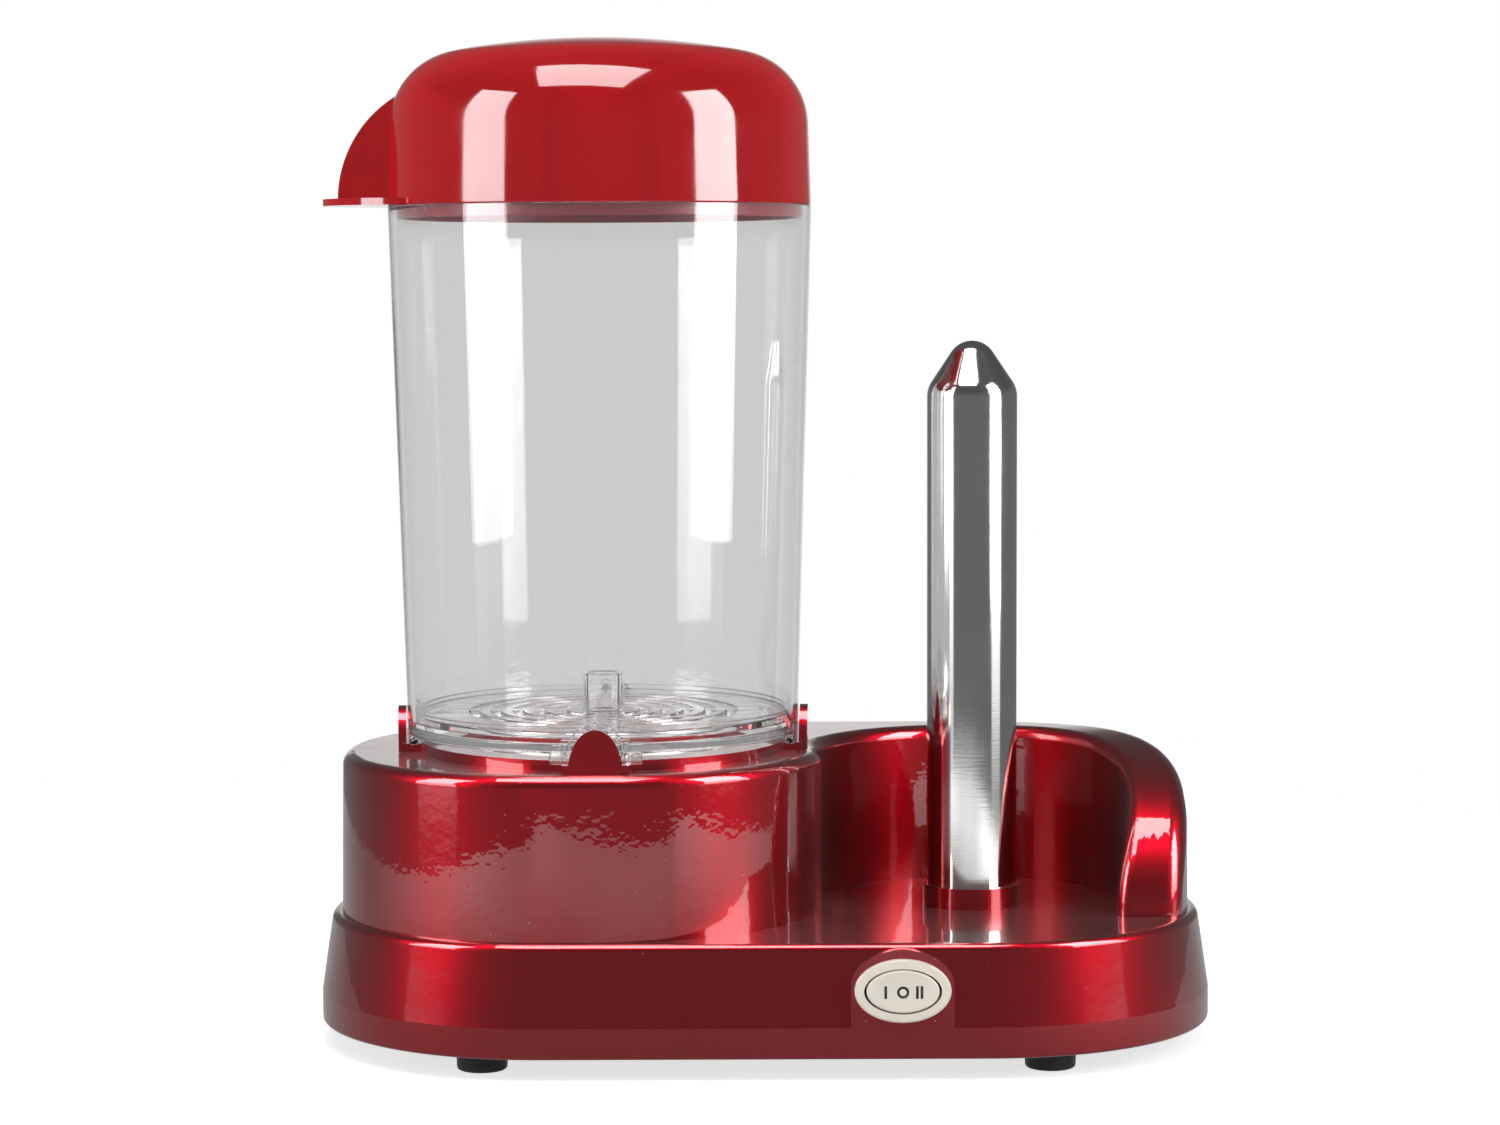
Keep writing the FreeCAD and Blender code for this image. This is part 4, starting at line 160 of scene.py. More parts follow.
table = new_piece("table", lay_table)
table_white, tree, output = new_material("white_table")
path = tree.nodes.new("ShaderNodeLightPath")
place = on_object(tree)
# Painted light that only mirrors see: shade near the steamer, brighter to the front, pools under the
# softboxes
pools = spread(tree, parts_of(tree, place)["Y"], SHEEN_BACK, SHEEN_FRONT, SHEEN_LEAST, SHEEN_MOST)
for foot, strength in ((SOFTBOX_LEFT, POOL_LEFT), (SOFTBOX_RIGHT, POOL_RIGHT)):
    away = distance(tree, place, (*foot, 0.0))
    pools = math_node(tree, "ADD", pools, spread(tree, away, POOL_INSIDE, POOL_OUTSIDE, strength, 0.0))
mirrored = math_node(tree, "MULTIPLY", path.outputs["Is Glossy Ray"], pools)
unmirrored = math_node(tree, "SUBTRACT", 1.0, path.outputs["Is Glossy Ray"])
matt = add_node(tree, "ShaderNodeBsdfDiffuse", Color=math_node(tree, "MULTIPLY", unmirrored, MATT_WHITE))
clear_sight = math_node(tree, "MAXIMUM", path.outputs["Is Camera Ray"], path.outputs["Is Transmission Ray"])
white = math_node(tree, "MULTIPLY_ADD", clear_sight, SEEN_WHITE, mirrored)
glow = add_node(tree, "ShaderNodeEmission", Strength=white)
both = add_node(tree, "ShaderNodeAddShader", _0=matt.outputs[0], _1=glow.outputs[0])
tree.links.new(both.outputs[0], output.inputs["Surface"])
table.data.materials.append(table_white)

# Studio: a white background, two upright softboxes about half a metre away, a third one overhead in
# front, and the dim room, which only polished surfaces mirror. The room has a lit strip under both
# upright softboxes, so that their mirror images go on downwards, and a bright wall at the back.
SKY_LIGHT = 0.13


def seen_directly(tree):
    """One for rays from the camera, off a mirror and through clear plastic, otherwise zero."""
    path = tree.nodes.new("ShaderNodeLightPath")
    first = math_node(tree, "MAXIMUM", path.outputs["Is Camera Ray"], path.outputs["Is Glossy Ray"])
    return math_node(tree, "MAXIMUM", first, path.outputs["Is Transmission Ray"])


sky = bpy.data.worlds.new("studio")
scene.world = sky
sky.use_nodes = True
tree = sky.node_tree
tree.nodes.clear()
output = tree.nodes.new("ShaderNodeOutputWorld")
level = add_node(tree, "ShaderNodeMapRange", Value=seen_directly(tree), To_Min=SKY_LIGHT, To_Max=1.0)
background = add_node(tree, "ShaderNodeBackground", Color=(1, 1, 1, 1), Strength=level.outputs["Result"])
tree.links.new(background.outputs[0], output.inputs["Surface"])

ROOM_RADIUS = 3.0
ROOM_LOW = 0.2
ROOM_HIGH = 1.6
ROOM_LOW_LEVEL = 0.18
ROOM_HIGH_LEVEL = 0.10
BACK_WALL_START = 2.75
BACK_WALL_END = 2.99
BACK_WALL_LEVEL = 1.0
STRIP_INSIDE = 0.558
STRIP_OUTSIDE = 0.682
STRIP_LEVEL = 1.25
STRIP_FOOT = (-0.36, -0.2)
STRIP_HEAD = (0.25, -0.05)


def build_room(form):
    bmesh.ops.create_uvsphere(form, u_segments=48, v_segments=24, radius=ROOM_RADIUS)
    bmesh.ops.reverse_faces(form, faces=form.faces)


room = new_piece("dim_room", build_room)
room.visible_camera = False
room.visible_diffuse = False
room.visible_transmission = False
room.visible_shadow = False
room_wall, tree, output = new_material("dim_room_wall")
place = on_object(tree)
parts = parts_of(tree, place)
level = spread(tree, parts["Z"], ROOM_LOW, ROOM_HIGH, ROOM_LOW_LEVEL, ROOM_HIGH_LEVEL)
far = spread(tree, parts["Y"], BACK_WALL_START, BACK_WALL_END)
level = add_node(tree, "ShaderNodeMix", Factor=far, A=level, B=BACK_WALL_LEVEL).outputs[0]
plan = add_node(tree, "ShaderNodeVectorMath", {"operation": "MULTIPLY"}, _0=place, _1=(1, 1, 0)).outputs[0]
strips = 0.0
for foot in (SOFTBOX_LEFT, SOFTBOX_RIGHT):
    away = distance(tree, plan, Vector((*foot, 0.0)).normalized() * ROOM_RADIUS)
    strips = math_node(tree, "ADD", strips, spread(tree, away, STRIP_INSIDE, STRIP_OUTSIDE, STRIP_LEVEL, 0.0))
over_foot = spread(tree, parts["Z"], *STRIP_FOOT)
under_head = spread(tree, parts["Z"], *STRIP_HEAD)
level = math_node(tree, "MULTIPLY_ADD", math_node(tree, "MULTIPLY", over_foot, under_head), strips, level)
glow = add_node(tree, "ShaderNodeEmission", Strength=level)
tree.links.new(glow.outputs[0], output.inputs["Surface"])
room.data.materials.append(room_wall)

FADE_LOW = -0.03
FADE_HIGH = 0.32


def fade_downwards(lamp_data):
    """Makes the lower part of an upright softbox dimmer, as its lamp sits near the top."""
    lamp_data.use_nodes = True
    tree = lamp_data.node_tree
    tree.nodes.clear()
    parts = parts_of(tree, tree.nodes.new("ShaderNodeNewGeometry").outputs["Position"])
    level = add_node(tree, "ShaderNodeMapRange", Value=parts["Z"], From_Min=FADE_LOW, From_Max=FADE_HIGH)
    glow = add_node(tree, "ShaderNodeEmission", Strength=level.outputs["Result"])
    tree.links.new(glow.outputs[0], tree.nodes.new("ShaderNodeOutputLight").inputs["Surface"])


def softbox(name, place, target, width, height, mirrored, cast, fading):
    """A glowing rectangle that faces a point: one level is mirrored, and another lights matt surfaces."""
    turn = (Vector(target) - Vector(place)).to_track_quat("-Z", "Y")
    for use, radiance in (("mirrored", mirrored), ("cast", cast)):
        lamp_data = bpy.data.lights.new(name + "_" + use, "AREA")
        lamp_data.shape = "RECTANGLE"
        lamp_data.size = width
        lamp_data.size_y = height
        lamp_data.energy = radiance * math.pi * width * height
        lamp = bpy.data.objects.new(name + "_" + use, lamp_data)
        lamp.matrix_world = Matrix.Translation(place) @ turn.to_matrix().to_4x4()
        lamp.visible_camera = False
        lamp.visible_diffuse = use == "cast"
        lamp.visible_glossy = use == "mirrored"
        collection.objects.link(lamp)
        if fading:
            fade_downwards(lamp_data)


SOFTBOX_WIDTH = 0.27
SOFTBOX_HEIGHT = 0.65
SOFTBOX_MIDDLE = 0.425
softbox("softbox_left", (*SOFTBOX_LEFT, SOFTBOX_MIDDLE), (-0.085, -0.06, SOFTBOX_MIDDLE),
        SOFTBOX_WIDTH, SOFTBOX_HEIGHT, mirrored=11.5, cast=8.0, fading=True)
softbox("softbox_right", (*SOFTBOX_RIGHT, SOFTBOX_MIDDLE), (-0.016, -0.058, SOFTBOX_MIDDLE),
        SOFTBOX_WIDTH, SOFTBOX_HEIGHT, mirrored=14.0, cast=8.7, fading=True)
softbox("softbox_overhead", (-0.12, -0.42, 1.31), (-0.053, -0.06, 0.3), width=0.80, height=0.72,
        mirrored=10.0, cast=5.6, fading=False)

# Plinth: the lower moulding, red plastic under a candy lacquer: bright flakes, a clear red coat
# that deepens where it is seen at a slant, and a faint orange peel in the polish.
CANDY_BRIGHT = (0.32, 0.0004, 0.007, 1)
CANDY_DEEP = (0.12, 0.0004, 0.006, 1)
SLANT_START = 0.25
SLANT_END = 0.95
FLAKES_A_METRE = 6500.0
FLAKE_SPARKLE = 0.22
LACQUER_ROUGHNESS = 0.29
FLAKE_ROUGHNESS = 0.06
PEEL_DEPTH = 0.000022
DUST_COLOUR = (0.55, 0.42, 0.42, 1)
DUST_CELLS_A_METRE = 420.0
DUST_RARITY = 0.8
DUST_LARGEST = 0.08


def new_group(name, inputs, outputs):
    """A shader node group with named inputs and outputs."""
    group = bpy.data.node_groups.new(name, "ShaderNodeTree")
    kinds = {"value": "NodeSocketFloat", "vector": "NodeSocketVector"}
    for label, kind, value in inputs:
        socket = group.interface.new_socket(label, in_out="INPUT", socket_type=kinds[kind])
        socket.default_value = value
    for label, kind in outputs:
        group.interface.new_socket(label, in_out="OUTPUT", socket_type=kinds[kind])
    return group, group.nodes.new("NodeGroupInput"), group.nodes.new("NodeGroupOutput")


def noise(tree, place, scale, detail=2.0, roughness=0.5):
    """Soft noise round one half, scale in waves a metre."""
    return add_node(tree, "ShaderNodeTexNoise", Vector=place, Scale=scale, Detail=detail,
                    Roughness=roughness).outputs["Fac"]


orange_peel, given, result = new_group(
    "orange_peel", [("Place", "vector", (0, 0, 0)), ("Waves", "value", 450.0)], [("Height", "value")])
peel = noise(orange_peel, given.outputs["Place"], given.outputs["Waves"], 1.0)
slow = math_node(orange_peel, "MULTIPLY", given.outputs["Waves"], 0.22)
swell = noise(orange_peel, given.outputs["Place"], slow, 1.0)
height = math_node(orange_peel, "MULTIPLY_ADD", swell, 2.5, peel)
orange_peel.links.new(height, result.inputs["Height"])

flakes, given, result = new_group("flakes", [("Place", "vector", (0, 0, 0))], [("Glitter", "value")])
cells = add_node(flakes, "ShaderNodeTexVoronoi", Vector=given.outputs["Place"], Scale=FLAKES_A_METRE)
glitter = add_node(flakes, "ShaderNodeSeparateColor", Color=cells.outputs["Color"])
flakes.links.new(glitter.outputs[0], result.inputs["Glitter"])

dust, given, result = new_group(
    "dust", [("Place", "vector", (0, 0, 0)), ("Amount", "value", 0.5)], [("Specks", "value")])
specks = add_node(dust, "ShaderNodeTexVoronoi", Vector=given.outputs["Place"], Scale=DUST_CELLS_A_METRE)
pick = add_node(dust, "ShaderNodeSeparateColor", Color=specks.outputs["Color"])
size = spread(dust, pick.outputs[0], DUST_RARITY, 1.0, 0.0, DUST_LARGEST)
near = math_node(dust, "LESS_THAN", specks.outputs["Distance"], size)
patches = noise(dust, given.outputs["Place"], 22.0)
some = math_node(dust, "GREATER_THAN", math_node(dust, "ADD", patches, given.outputs["Amount"]), 1.0)
dust.links.new(math_node(dust, "MULTIPLY", near, some), result.inputs["Specks"])

smudges, given, result = new_group(
    "smudges", [("Place", "vector", (0, 0, 0)), ("Least", "value", 0.05), ("Most", "value", 0.15)],
    [("Roughness", "value")])
wiped = noise(smudges, given.outputs["Place"], 38.0, 4.0, 0.6)
uneven = spread(smudges, wiped, 0.35, 0.75, given.outputs["Least"], given.outputs["Most"])
smudges.links.new(uneven, result.inputs["Roughness"])


def use_group(tree, group, **inputs):
    """A group placed in a material, with its inputs."""
    return add_node(tree, "ShaderNodeGroup", {"node_tree": group}, **inputs).outputs[0]


def blend(tree, share, first, second):
    """A colour between two."""
    return add_node(tree, "ShaderNodeMix", {"data_type": "RGBA"}, _0=share, _6=first, _7=second).outputs[2]


def shaded(tree, colour, level):
    """A colour made darker or brighter."""
    return add_node(tree, "ShaderNodeVectorMath", {"operation": "SCALE"}, _0=colour, Scale=level).outputs[0]


def bump(tree, height, depth, **under):
    """A normal from a height between zero and one and a depth in metres, over another normal if given."""
    return add_node(tree, "ShaderNodeBump", Height=height, Distance=depth, **under).outputs["Normal"]


def surface(tree, output, **inputs):
    """The finished surface."""
    shader = add_node(tree, "ShaderNodeBsdfPrincipled", **inputs)
    tree.links.new(shader.outputs[0], output.inputs["Surface"])


candy, tree, output = new_material("candy_red_lacquer")
place = on_object(tree)
glitter = use_group(tree, flakes, Place=place)
slant = add_node(tree, "ShaderNodeLayerWeight", Blend=0.35)
facing = spread(tree, slant.outputs["Facing"], SLANT_START, SLANT_END)
deepened = blend(tree, facing, CANDY_BRIGHT, CANDY_DEEP)
clouded = math_node(tree, "MULTIPLY_ADD", noise(tree, place, 30.0), 0.18, 0.86)
sparkle = math_node(tree, "MULTIPLY_ADD", glitter, FLAKE_SPARKLE, clouded)
specks = use_group(tree, dust, Place=place, Amount=0.5)
colour = blend(tree, specks, shaded(tree, deepened, sparkle), DUST_COLOUR)
peel = bump(tree, use_group(tree, orange_peel, Place=place, Waves=420.0), PEEL_DEPTH)
metal = math_node(tree, "SUBTRACT", 1.0, specks)
rough = math_node(tree, "MULTIPLY_ADD", glitter, FLAKE_ROUGHNESS, LACQUER_ROUGHNESS)
surface(tree, output, Base_Color=colour, Metallic=metal, Roughness=rough, Coat_Weight=metal,
        Coat_Roughness=0.015, Coat_IOR=1.6, Normal=peel, Coat_Normal=peel,
        Sheen_Weight=0.035, Sheen_Roughness=0.6)


def finish(material, *names):
    """Gives CAD nodes a material in place of the plain one of their slot."""
    for name in names:
        nodes[name].data.materials.clear()
        nodes[name].data.materials.append(material)


finish(candy, "plinth")

# Upper housing: the second lacquered moulding, with the boiler's ring, the clips and the curved
# bread wall. Where the drum round the boiler meets the straight walls it is shaded as one even bend.
DRUM_MIDDLE = -0.053
DRUM_RADIUS = 0.0708
WALL_LEAN = math.radians(0.8)
BEND_START = -0.064
BEND_END = -0.050
BEND_REGION = (-0.075, -0.030)
WALL_OUTSIDE = 0.055
UPRIGHT_LIMIT = 0.04
SIDEWAYS_LIMIT = 0.35
MERGE_DISTANCE = 1e-7


def even_shading(name, node):
    """A merged copy of a CAD piece whose long walls are shaded as if the drum ran into them evenly."""
    mesh = node.data.copy()
    mesh.name = name
    mesh.transform(node.matrix_world)
    exact = mesh.attributes.new("exact_normal", "FLOAT_VECTOR", "CORNER")
    for corner in range(len(mesh.loops)):
        exact.data[corner].vector = mesh.corner_normals[corner].vector
    form = bmesh.new()
    form.from_mesh(mesh)
    bmesh.ops.remove_doubles(form, verts=form.verts, dist=MERGE_DISTANCE)
    form.to_mesh(mesh)
    form.free()
    normals = [Vector(value.vector) for value in mesh.attributes["exact_normal"].data]
    mesh.attributes.remove(mesh.attributes["exact_normal"])
    for corner, loop in enumerate(mesh.loops):
        place = mesh.vertices[loop.vertex_index].co
        outwards = normals[corner].y * place.y > 0 and abs(place.y) > WALL_OUTSIDE
        upright = abs(normals[corner].z) < UPRIGHT_LIMIT and abs(normals[corner].x) < SIDEWAYS_LIMIT
        if outwards and upright and BEND_REGION[0] < place.x < BEND_REGION[1]:
            share = min(max((place.x - BEND_START) / (BEND_END - BEND_START), 0.0), 1.0)
            share = share * share * (3 - 2 * share)
            across = min((place.x - DRUM_MIDDLE) / DRUM_RADIUS, 0.0) * (1 - share)
            normals[corner] = Vector((across, math.copysign(1.0, place.y), WALL_LEAN * share)).normalized()
    mesh.shade_smooth()
    mesh.normals_split_custom_set(normals)
    piece = bpy.data.objects.new(name, mesh)
    collection.objects.link(piece)
    return piece


housing = even_shading("housing_shell", nodes["upper_housing"])
housing.data.materials.clear()
housing.data.materials.append(candy)
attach(housing, "base")
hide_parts("upper_housing")

# Bottom plate, body of the switch, cord clamp and gland: black plastic moulded with a fine matt
# grain. The terminal block inside is of the same kind in white.
BLACK_PLASTIC = (0.022, 0.022, 0.024, 1)
WHITE_PLASTIC = (0.72, 0.71, 0.67, 1)
GLOSSIEST = 0.9
DULLEST = 1.2


def grained_plastic(name, colour, roughness, waves, depth):
    """A moulded plastic with a fine grain and slightly uneven gloss."""
    material, tree, output = new_material(name)
    place = on_object(tree)
    clouded = math_node(tree, "MULTIPLY_ADD", noise(tree, place, 55.0), 0.16, 0.92)
    grain = bump(tree, noise(tree, place, waves, 3.0, 0.6), depth)
    gloss = use_group(tree, smudges, Place=place, Least=roughness * GLOSSIEST, Most=roughness * DULLEST)
    surface(tree, output, Base_Color=shaded(tree, colour[:3], clouded), Roughness=gloss, Normal=grain)
    return material


finish(grained_plastic("black_plastic", BLACK_PLASTIC, roughness=0.42, waves=2600.0, depth=0.00006),
       "bottom_plate", "switch_body", "cord_gland", "cord_clamp")
finish(grained_plastic("white_block_plastic", WHITE_PLASTIC, roughness=0.4, waves=1800.0, depth=0.00004),
       "terminal_block")

# Feet: four turned-looking plugs of black rubber, pushed through the plate by their barbed studs.
# Their lower edges are rounded, and the rubber is matt with a little dust on it.
plate_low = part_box("bottom_plate")[0]
foot_low, foot_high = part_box("foot_front_left")
across_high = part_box("foot_back_right")[1]
FOOT_RADIUS = (foot_high[0] - foot_low[0]) / 2
FOOT_TAPER = 0.0003
FOOT_EDGE = 0.0011
STUD_RADIUS = 0.0025
STUD_TIP_RADIUS = 0.0020
BARB_RADIUS = 0.0033
BARB_HEIGHT = 0.0025
FOOT_CORNERS = 64
RUBBER_BLACK = (0.018, 0.018, 0.02, 1)
RUBBER_BLOOM = (0.055, 0.052, 0.055, 1)


def arc(middle, radius, start, end, steps):
    """Points on a round stretch, as distance from the axis and height, between two angles."""
    points = []
    for index in range(steps + 1):
        angle = math.radians(start + (end - start) * index / steps)
        points.append((middle[0] + radius * math.cos(angle), middle[1] + radius * math.sin(angle)))
    return points


def ring_of(form, axis, radius, height, steps):
    """A ring of corners round an upright axis, or the one on the axis."""
    if radius < MERGE_DISTANCE:
        return [form.verts.new((*axis, height))]
    ring = []
    for index in range(steps):
        angle = 2 * math.pi * index / steps
        across = (axis[0] + radius * math.cos(angle), axis[1] + radius * math.sin(angle))
        ring.append(form.verts.new((*across, height)))
    return ring


def turn(form, profile, steps, axis=(0.0, 0.0)):
    """A turned shell: points on the axis close it, other ends stay open or meet."""
    rings = [ring_of(form, axis, radius, height, steps) for radius, height in profile]
    for ring, after in zip(rings, rings[1:]):
        for index in range(steps):
            beside = (index + 1) % steps
            corners = [ring[index % len(ring)], ring[beside % len(ring)], after[beside % len(after)],
                       after[index % len(after)]]
            form.faces.new([corner for place, corner in enumerate(corners) if corner not in corners[:place]])


def smooth(piece, angle=35.0):
    """Faces outwards, soft shading, and edges sharper than an angle kept crisp."""
    form = bmesh.new()
    form.from_mesh(piece.data)
    bmesh.ops.remove_doubles(form, verts=form.verts, dist=MERGE_DISTANCE)
    bmesh.ops.recalc_face_normals(form, faces=form.faces)
    form.to_mesh(piece.data)
    form.free()
    piece.data.shade_smooth()
    piece.data.set_sharp_from_angle(angle=math.radians(angle))


def turn_foot(form):
    profile = [(0, 0)]
    profile += arc((FOOT_RADIUS - FOOT_TAPER - FOOT_EDGE, FOOT_EDGE), FOOT_EDGE, -90, 0, 6)
    profile += [(FOOT_RADIUS, plate_low[2]), (STUD_RADIUS, plate_low[2]),
                (STUD_RADIUS, foot_high[2] - BARB_HEIGHT), (BARB_RADIUS, foot_high[2] - BARB_HEIGHT),
                (STUD_TIP_RADIUS, foot_high[2]), (0, foot_high[2])]
    turn(form, profile, FOOT_CORNERS)


def repeat_tree(name, material, sizes):
    """A geometry tree with named sizes that ends in real, finished copies of what it is given."""
    tree = bpy.data.node_groups.new(name, "GeometryNodeTree")
    tree.interface.new_socket("Geometry", in_out="INPUT", socket_type="NodeSocketGeometry")
    for label, kind, value in sizes:
        tree.interface.new_socket(label, in_out="INPUT", socket_type=kind).default_value = value
    tree.interface.new_socket("Geometry", in_out="OUTPUT", socket_type="NodeSocketGeometry")
    given = tree.nodes.new("NodeGroupInput")
    result = tree.nodes.new("NodeGroupOutput")
    copies = tree.nodes.new("GeometryNodeInstanceOnPoints")
    tree.links.new(given.outputs["Geometry"], copies.inputs["Instance"])
    real = tree.nodes.new("GeometryNodeRealizeInstances")
    painted = tree.nodes.new("GeometryNodeSetMaterial")
    painted.inputs["Material"].default_value = material
    tree.links.new(copies.outputs[0], real.inputs[0])
    tree.links.new(real.outputs[0], painted.inputs["Geometry"])
    tree.links.new(painted.outputs[0], result.inputs[0])
    return tree, given, copies


def keep_result(piece):
    """Turns what a piece's modifiers give into its plain mesh."""
    depsgraph = bpy.context.evaluated_depsgraph_get()
    mesh = bpy.data.meshes.new_from_object(piece.evaluated_get(depsgraph), depsgraph=depsgraph)
    piece.modifiers.clear()
    piece.data = mesh


def repeated(piece, tree, sizes):
    """Makes the piece and its copies one plain mesh."""
    modifier = piece.modifiers.new("copies", "NODES")
    modifier.node_group = tree
    for item in tree.interface.items_tree:
        if item.in_out == "INPUT" and item.name in sizes:
            modifier[item.identifier] = sizes[item.name]
    keep_result(piece)


rubber, tree, output = new_material("black_rubber")
place = on_object(tree)
bloom = spread(tree, noise(tree, place, 160.0, 4.0), 0.45, 0.8)
dusted = blend(tree, bloom, RUBBER_BLACK, RUBBER_BLOOM)
pitted = bump(tree, noise(tree, place, 2200.0, 3.0), 0.00008)
surface(tree, output, Base_Color=dusted, Roughness=spread(tree, bloom, 0, 1, 0.45, 0.75), Normal=pitted)

feet = new_piece("feet", turn_foot)
smooth(feet, angle=50.0)
tree, given, copies = repeat_tree(
    "feet_at_corners", rubber, [("Along", "NodeSocketFloat", 0.18), ("Across", "NodeSocketFloat", 0.11)])
corners = tree.nodes.new("GeometryNodeMeshGrid")
corners.inputs["Vertices X"].default_value = 2
corners.inputs["Vertices Y"].default_value = 2
tree.links.new(given.outputs["Along"], corners.inputs["Size X"])
tree.links.new(given.outputs["Across"], corners.inputs["Size Y"])
tree.links.new(corners.outputs["Mesh"], copies.inputs["Points"])
repeated(feet, tree, {"Along": across_high[0] - foot_low[0] - 2 * FOOT_RADIUS,
                      "Across": across_high[1] - foot_low[1] - 2 * FOOT_RADIUS})
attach(feet, "base")
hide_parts("foot_front_left", "foot_front_right", "foot_back_left", "foot_back_right")

# Screws, metal parts and wiring: zinc-plated screws, plain steel, brass and aluminium, drawn with
# fine lines and stained here and there. Ceramic and silicone insulate them, and silicone-covered
# wires join them.


def plain_metal(name, colour, roughness, stain, along, depth):
    """A metal with fine lines drawn along one axis, and stains that dull it."""
    material, tree, output = new_material(name)
    place = on_object(tree)
    drawn = add_node(tree, "ShaderNodeMapping", Vector=place, Scale=along)
    lines = noise(tree, drawn.outputs[0], 900.0, 3.0, 0.6)
    dull = spread(tree, noise(tree, place, 70.0, 4.0), 0.45, 0.75)
    rough = math_node(tree, "MULTIPLY_ADD", lines, 0.16, roughness)
    rough = math_node(tree, "MULTIPLY_ADD", dull, 0.12, rough)
    surface(tree, output, Base_Color=blend(tree, dull, colour, stain), Metallic=1.0, Roughness=rough,
            Normal=bump(tree, lines, depth))
    return material


zinc = plain_metal("zinc_plate", (0.62, 0.61, 0.57, 1), roughness=0.26, stain=(0.42, 0.41, 0.36, 1),
                   along=(1, 1, 1), depth=0.00001)
finish(zinc, "bottom_screws", "housing_screws", "boiler_screws", "spike_screws", "cord_clamp_screws")
plain_steel = plain_metal("plain_steel", (0.52, 0.52, 0.53, 1), roughness=0.28, stain=(0.3, 0.28, 0.26, 1),
                          along=(1, 0.06, 1), depth=0.00002)
finish(plain_steel, "boiler_clamp", "heating_element", "fuse_saddle", "spike_clamp", "spike_heater")
aluminium = plain_metal("cast_aluminium", (0.68, 0.69, 0.7, 1), roughness=0.36, stain=(0.48, 0.48, 0.48, 1),
                        along=(1, 1, 1), depth=0.00006)
finish(aluminium, "heater_plate", "thermostat")
brass = plain_metal("brass", (0.68, 0.5, 0.2, 1), roughness=0.25, stain=(0.42, 0.28, 0.12, 1),
                    along=(1, 1, 0.1), depth=0.00001)
finish(brass, "switch_terminals", "terminal_screws")
ceramic = grained_plastic("white_ceramic", (0.75, 0.73, 0.67, 1), roughness=0.75, waves=1500.0, depth=0.0001)
finish(ceramic, "thermal_fuse", "spike_insulator", "spike_heater_cap")
silicone = grained_plastic("silicone", (0.62, 0.6, 0.56, 1), roughness=0.5, waves=700.0, depth=0.00003)
finish(silicone, "boiler_seal")
brown = grained_plastic("brown_insulation", (0.16, 0.065, 0.03, 1), roughness=0.45, waves=900.0,
                        depth=0.00002)
finish(brown, "wire_switch_feed", "wire_boiler_live", "wire_spike_live")
blue = grained_plastic("blue_insulation", (0.03, 0.08, 0.3, 1), roughness=0.45, waves=900.0,
                       depth=0.00002)
finish(blue, "wire_boiler_return", "wire_spike_return")

# Switch: an oval frame of cream plastic snapped into the boss, and a rocker of the same plastic
# that swings between one, nought and two. The marks are printed in dark grey.
CREAM = (0.87, 0.82, 0.72, 1)
MARK_GREY = (0.014, 0.013, 0.013, 1)
MARK_WORN = (0.12, 0.11, 0.1, 1)
rocker_low, rocker_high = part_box("switch_rocker")
ROCKER_X = (rocker_low[0] + rocker_high[0]) / 2
ROCKER_Z = (rocker_low[2] + rocker_high[2]) / 2
ROCKER_HALF_WIDTH = (rocker_high[0] - rocker_low[0]) / 2
ROCKER_HALF_HEIGHT = 0.0067
ROCKER_FACE = rocker_low[1] + 0.00008
ROCKER_HOLLOW = 0.00035
ROCKER_EDGE = 0.0006
ROCKER_CORNERS = 96
EDGE_STEPS = 6
MARK_PROUD = 0.00004
MARK_HEIGHT = 0.0040
MARK_WIDTH = 0.00080
MARK_LOW = -0.0002
ONE_X = -0.0054
TWO_X = 0.0051
TWO_GAP = 0.0014
NOUGHT_RADIUS = 0.0019
NOUGHT_STEPS = 48

cream = grained_plastic("cream_plastic", CREAM, roughness=0.26, waves=1500.0, depth=0.000012)
finish(cream, "switch_bezel")


def shape_rocker(form):
    rows = [(1.0, rocker_high[1], 0.0)]
    for index in range(EDGE_STEPS + 1):
        angle = math.radians(90 * index / EDGE_STEPS)
        depth = ROCKER_FACE + ROCKER_EDGE * (1 - math.sin(angle))
        rows.append((1.0, depth, ROCKER_EDGE * (1 - math.cos(angle))))
    for share in (0.82, 0.66, 0.5, 0.34, 0.18):
        rows.append((share, ROCKER_FACE + ROCKER_HOLLOW * (1 - share ** 2), ROCKER_EDGE))
    rings = []
    for share, depth, inset in rows:
        ring = []
        for index in range(ROCKER_CORNERS):
            angle = 2 * math.pi * index / ROCKER_CORNERS
            x = ROCKER_X + share * (ROCKER_HALF_WIDTH - inset) * math.cos(angle)
            z = ROCKER_Z + share * (ROCKER_HALF_HEIGHT - inset) * math.sin(angle)
            ring.append(form.verts.new((x, depth, z)))
        rings.append(ring)
    for ring, after in zip(rings, rings[1:]):
        for index in range(ROCKER_CORNERS):
            beside = (index + 1) % ROCKER_CORNERS
            form.faces.new((ring[index], ring[beside], after[beside], after[index]))
    form.faces.new(rings[0])
    form.faces.new(rings[-1])


def face_depth(x, z):
    """Where the hollow face of the rocker is, at a place across and up it."""
    share = math.hypot(x / (ROCKER_HALF_WIDTH - ROCKER_EDGE), z / (ROCKER_HALF_HEIGHT - ROCKER_EDGE))
    return ROCKER_FACE + ROCKER_HOLLOW * (1 - share ** 2)


def print_strip(form, outline):
    """A thin closed patch of ink over an outline given as places across and up the face."""
    front = [form.verts.new((ROCKER_X + x, face_depth(x, z) - MARK_PROUD, ROCKER_Z + z)) for x, z in outline]
    back = [form.verts.new((ROCKER_X + x, face_depth(x, z) + MARK_PROUD, ROCKER_Z + z)) for x, z in outline]
    form.faces.new(front)
    form.faces.new(list(reversed(back)))
    for index in range(len(outline)):
        beside = (index + 1) % len(outline)
        form.faces.new((front[beside], front[index], back[index], back[beside]))


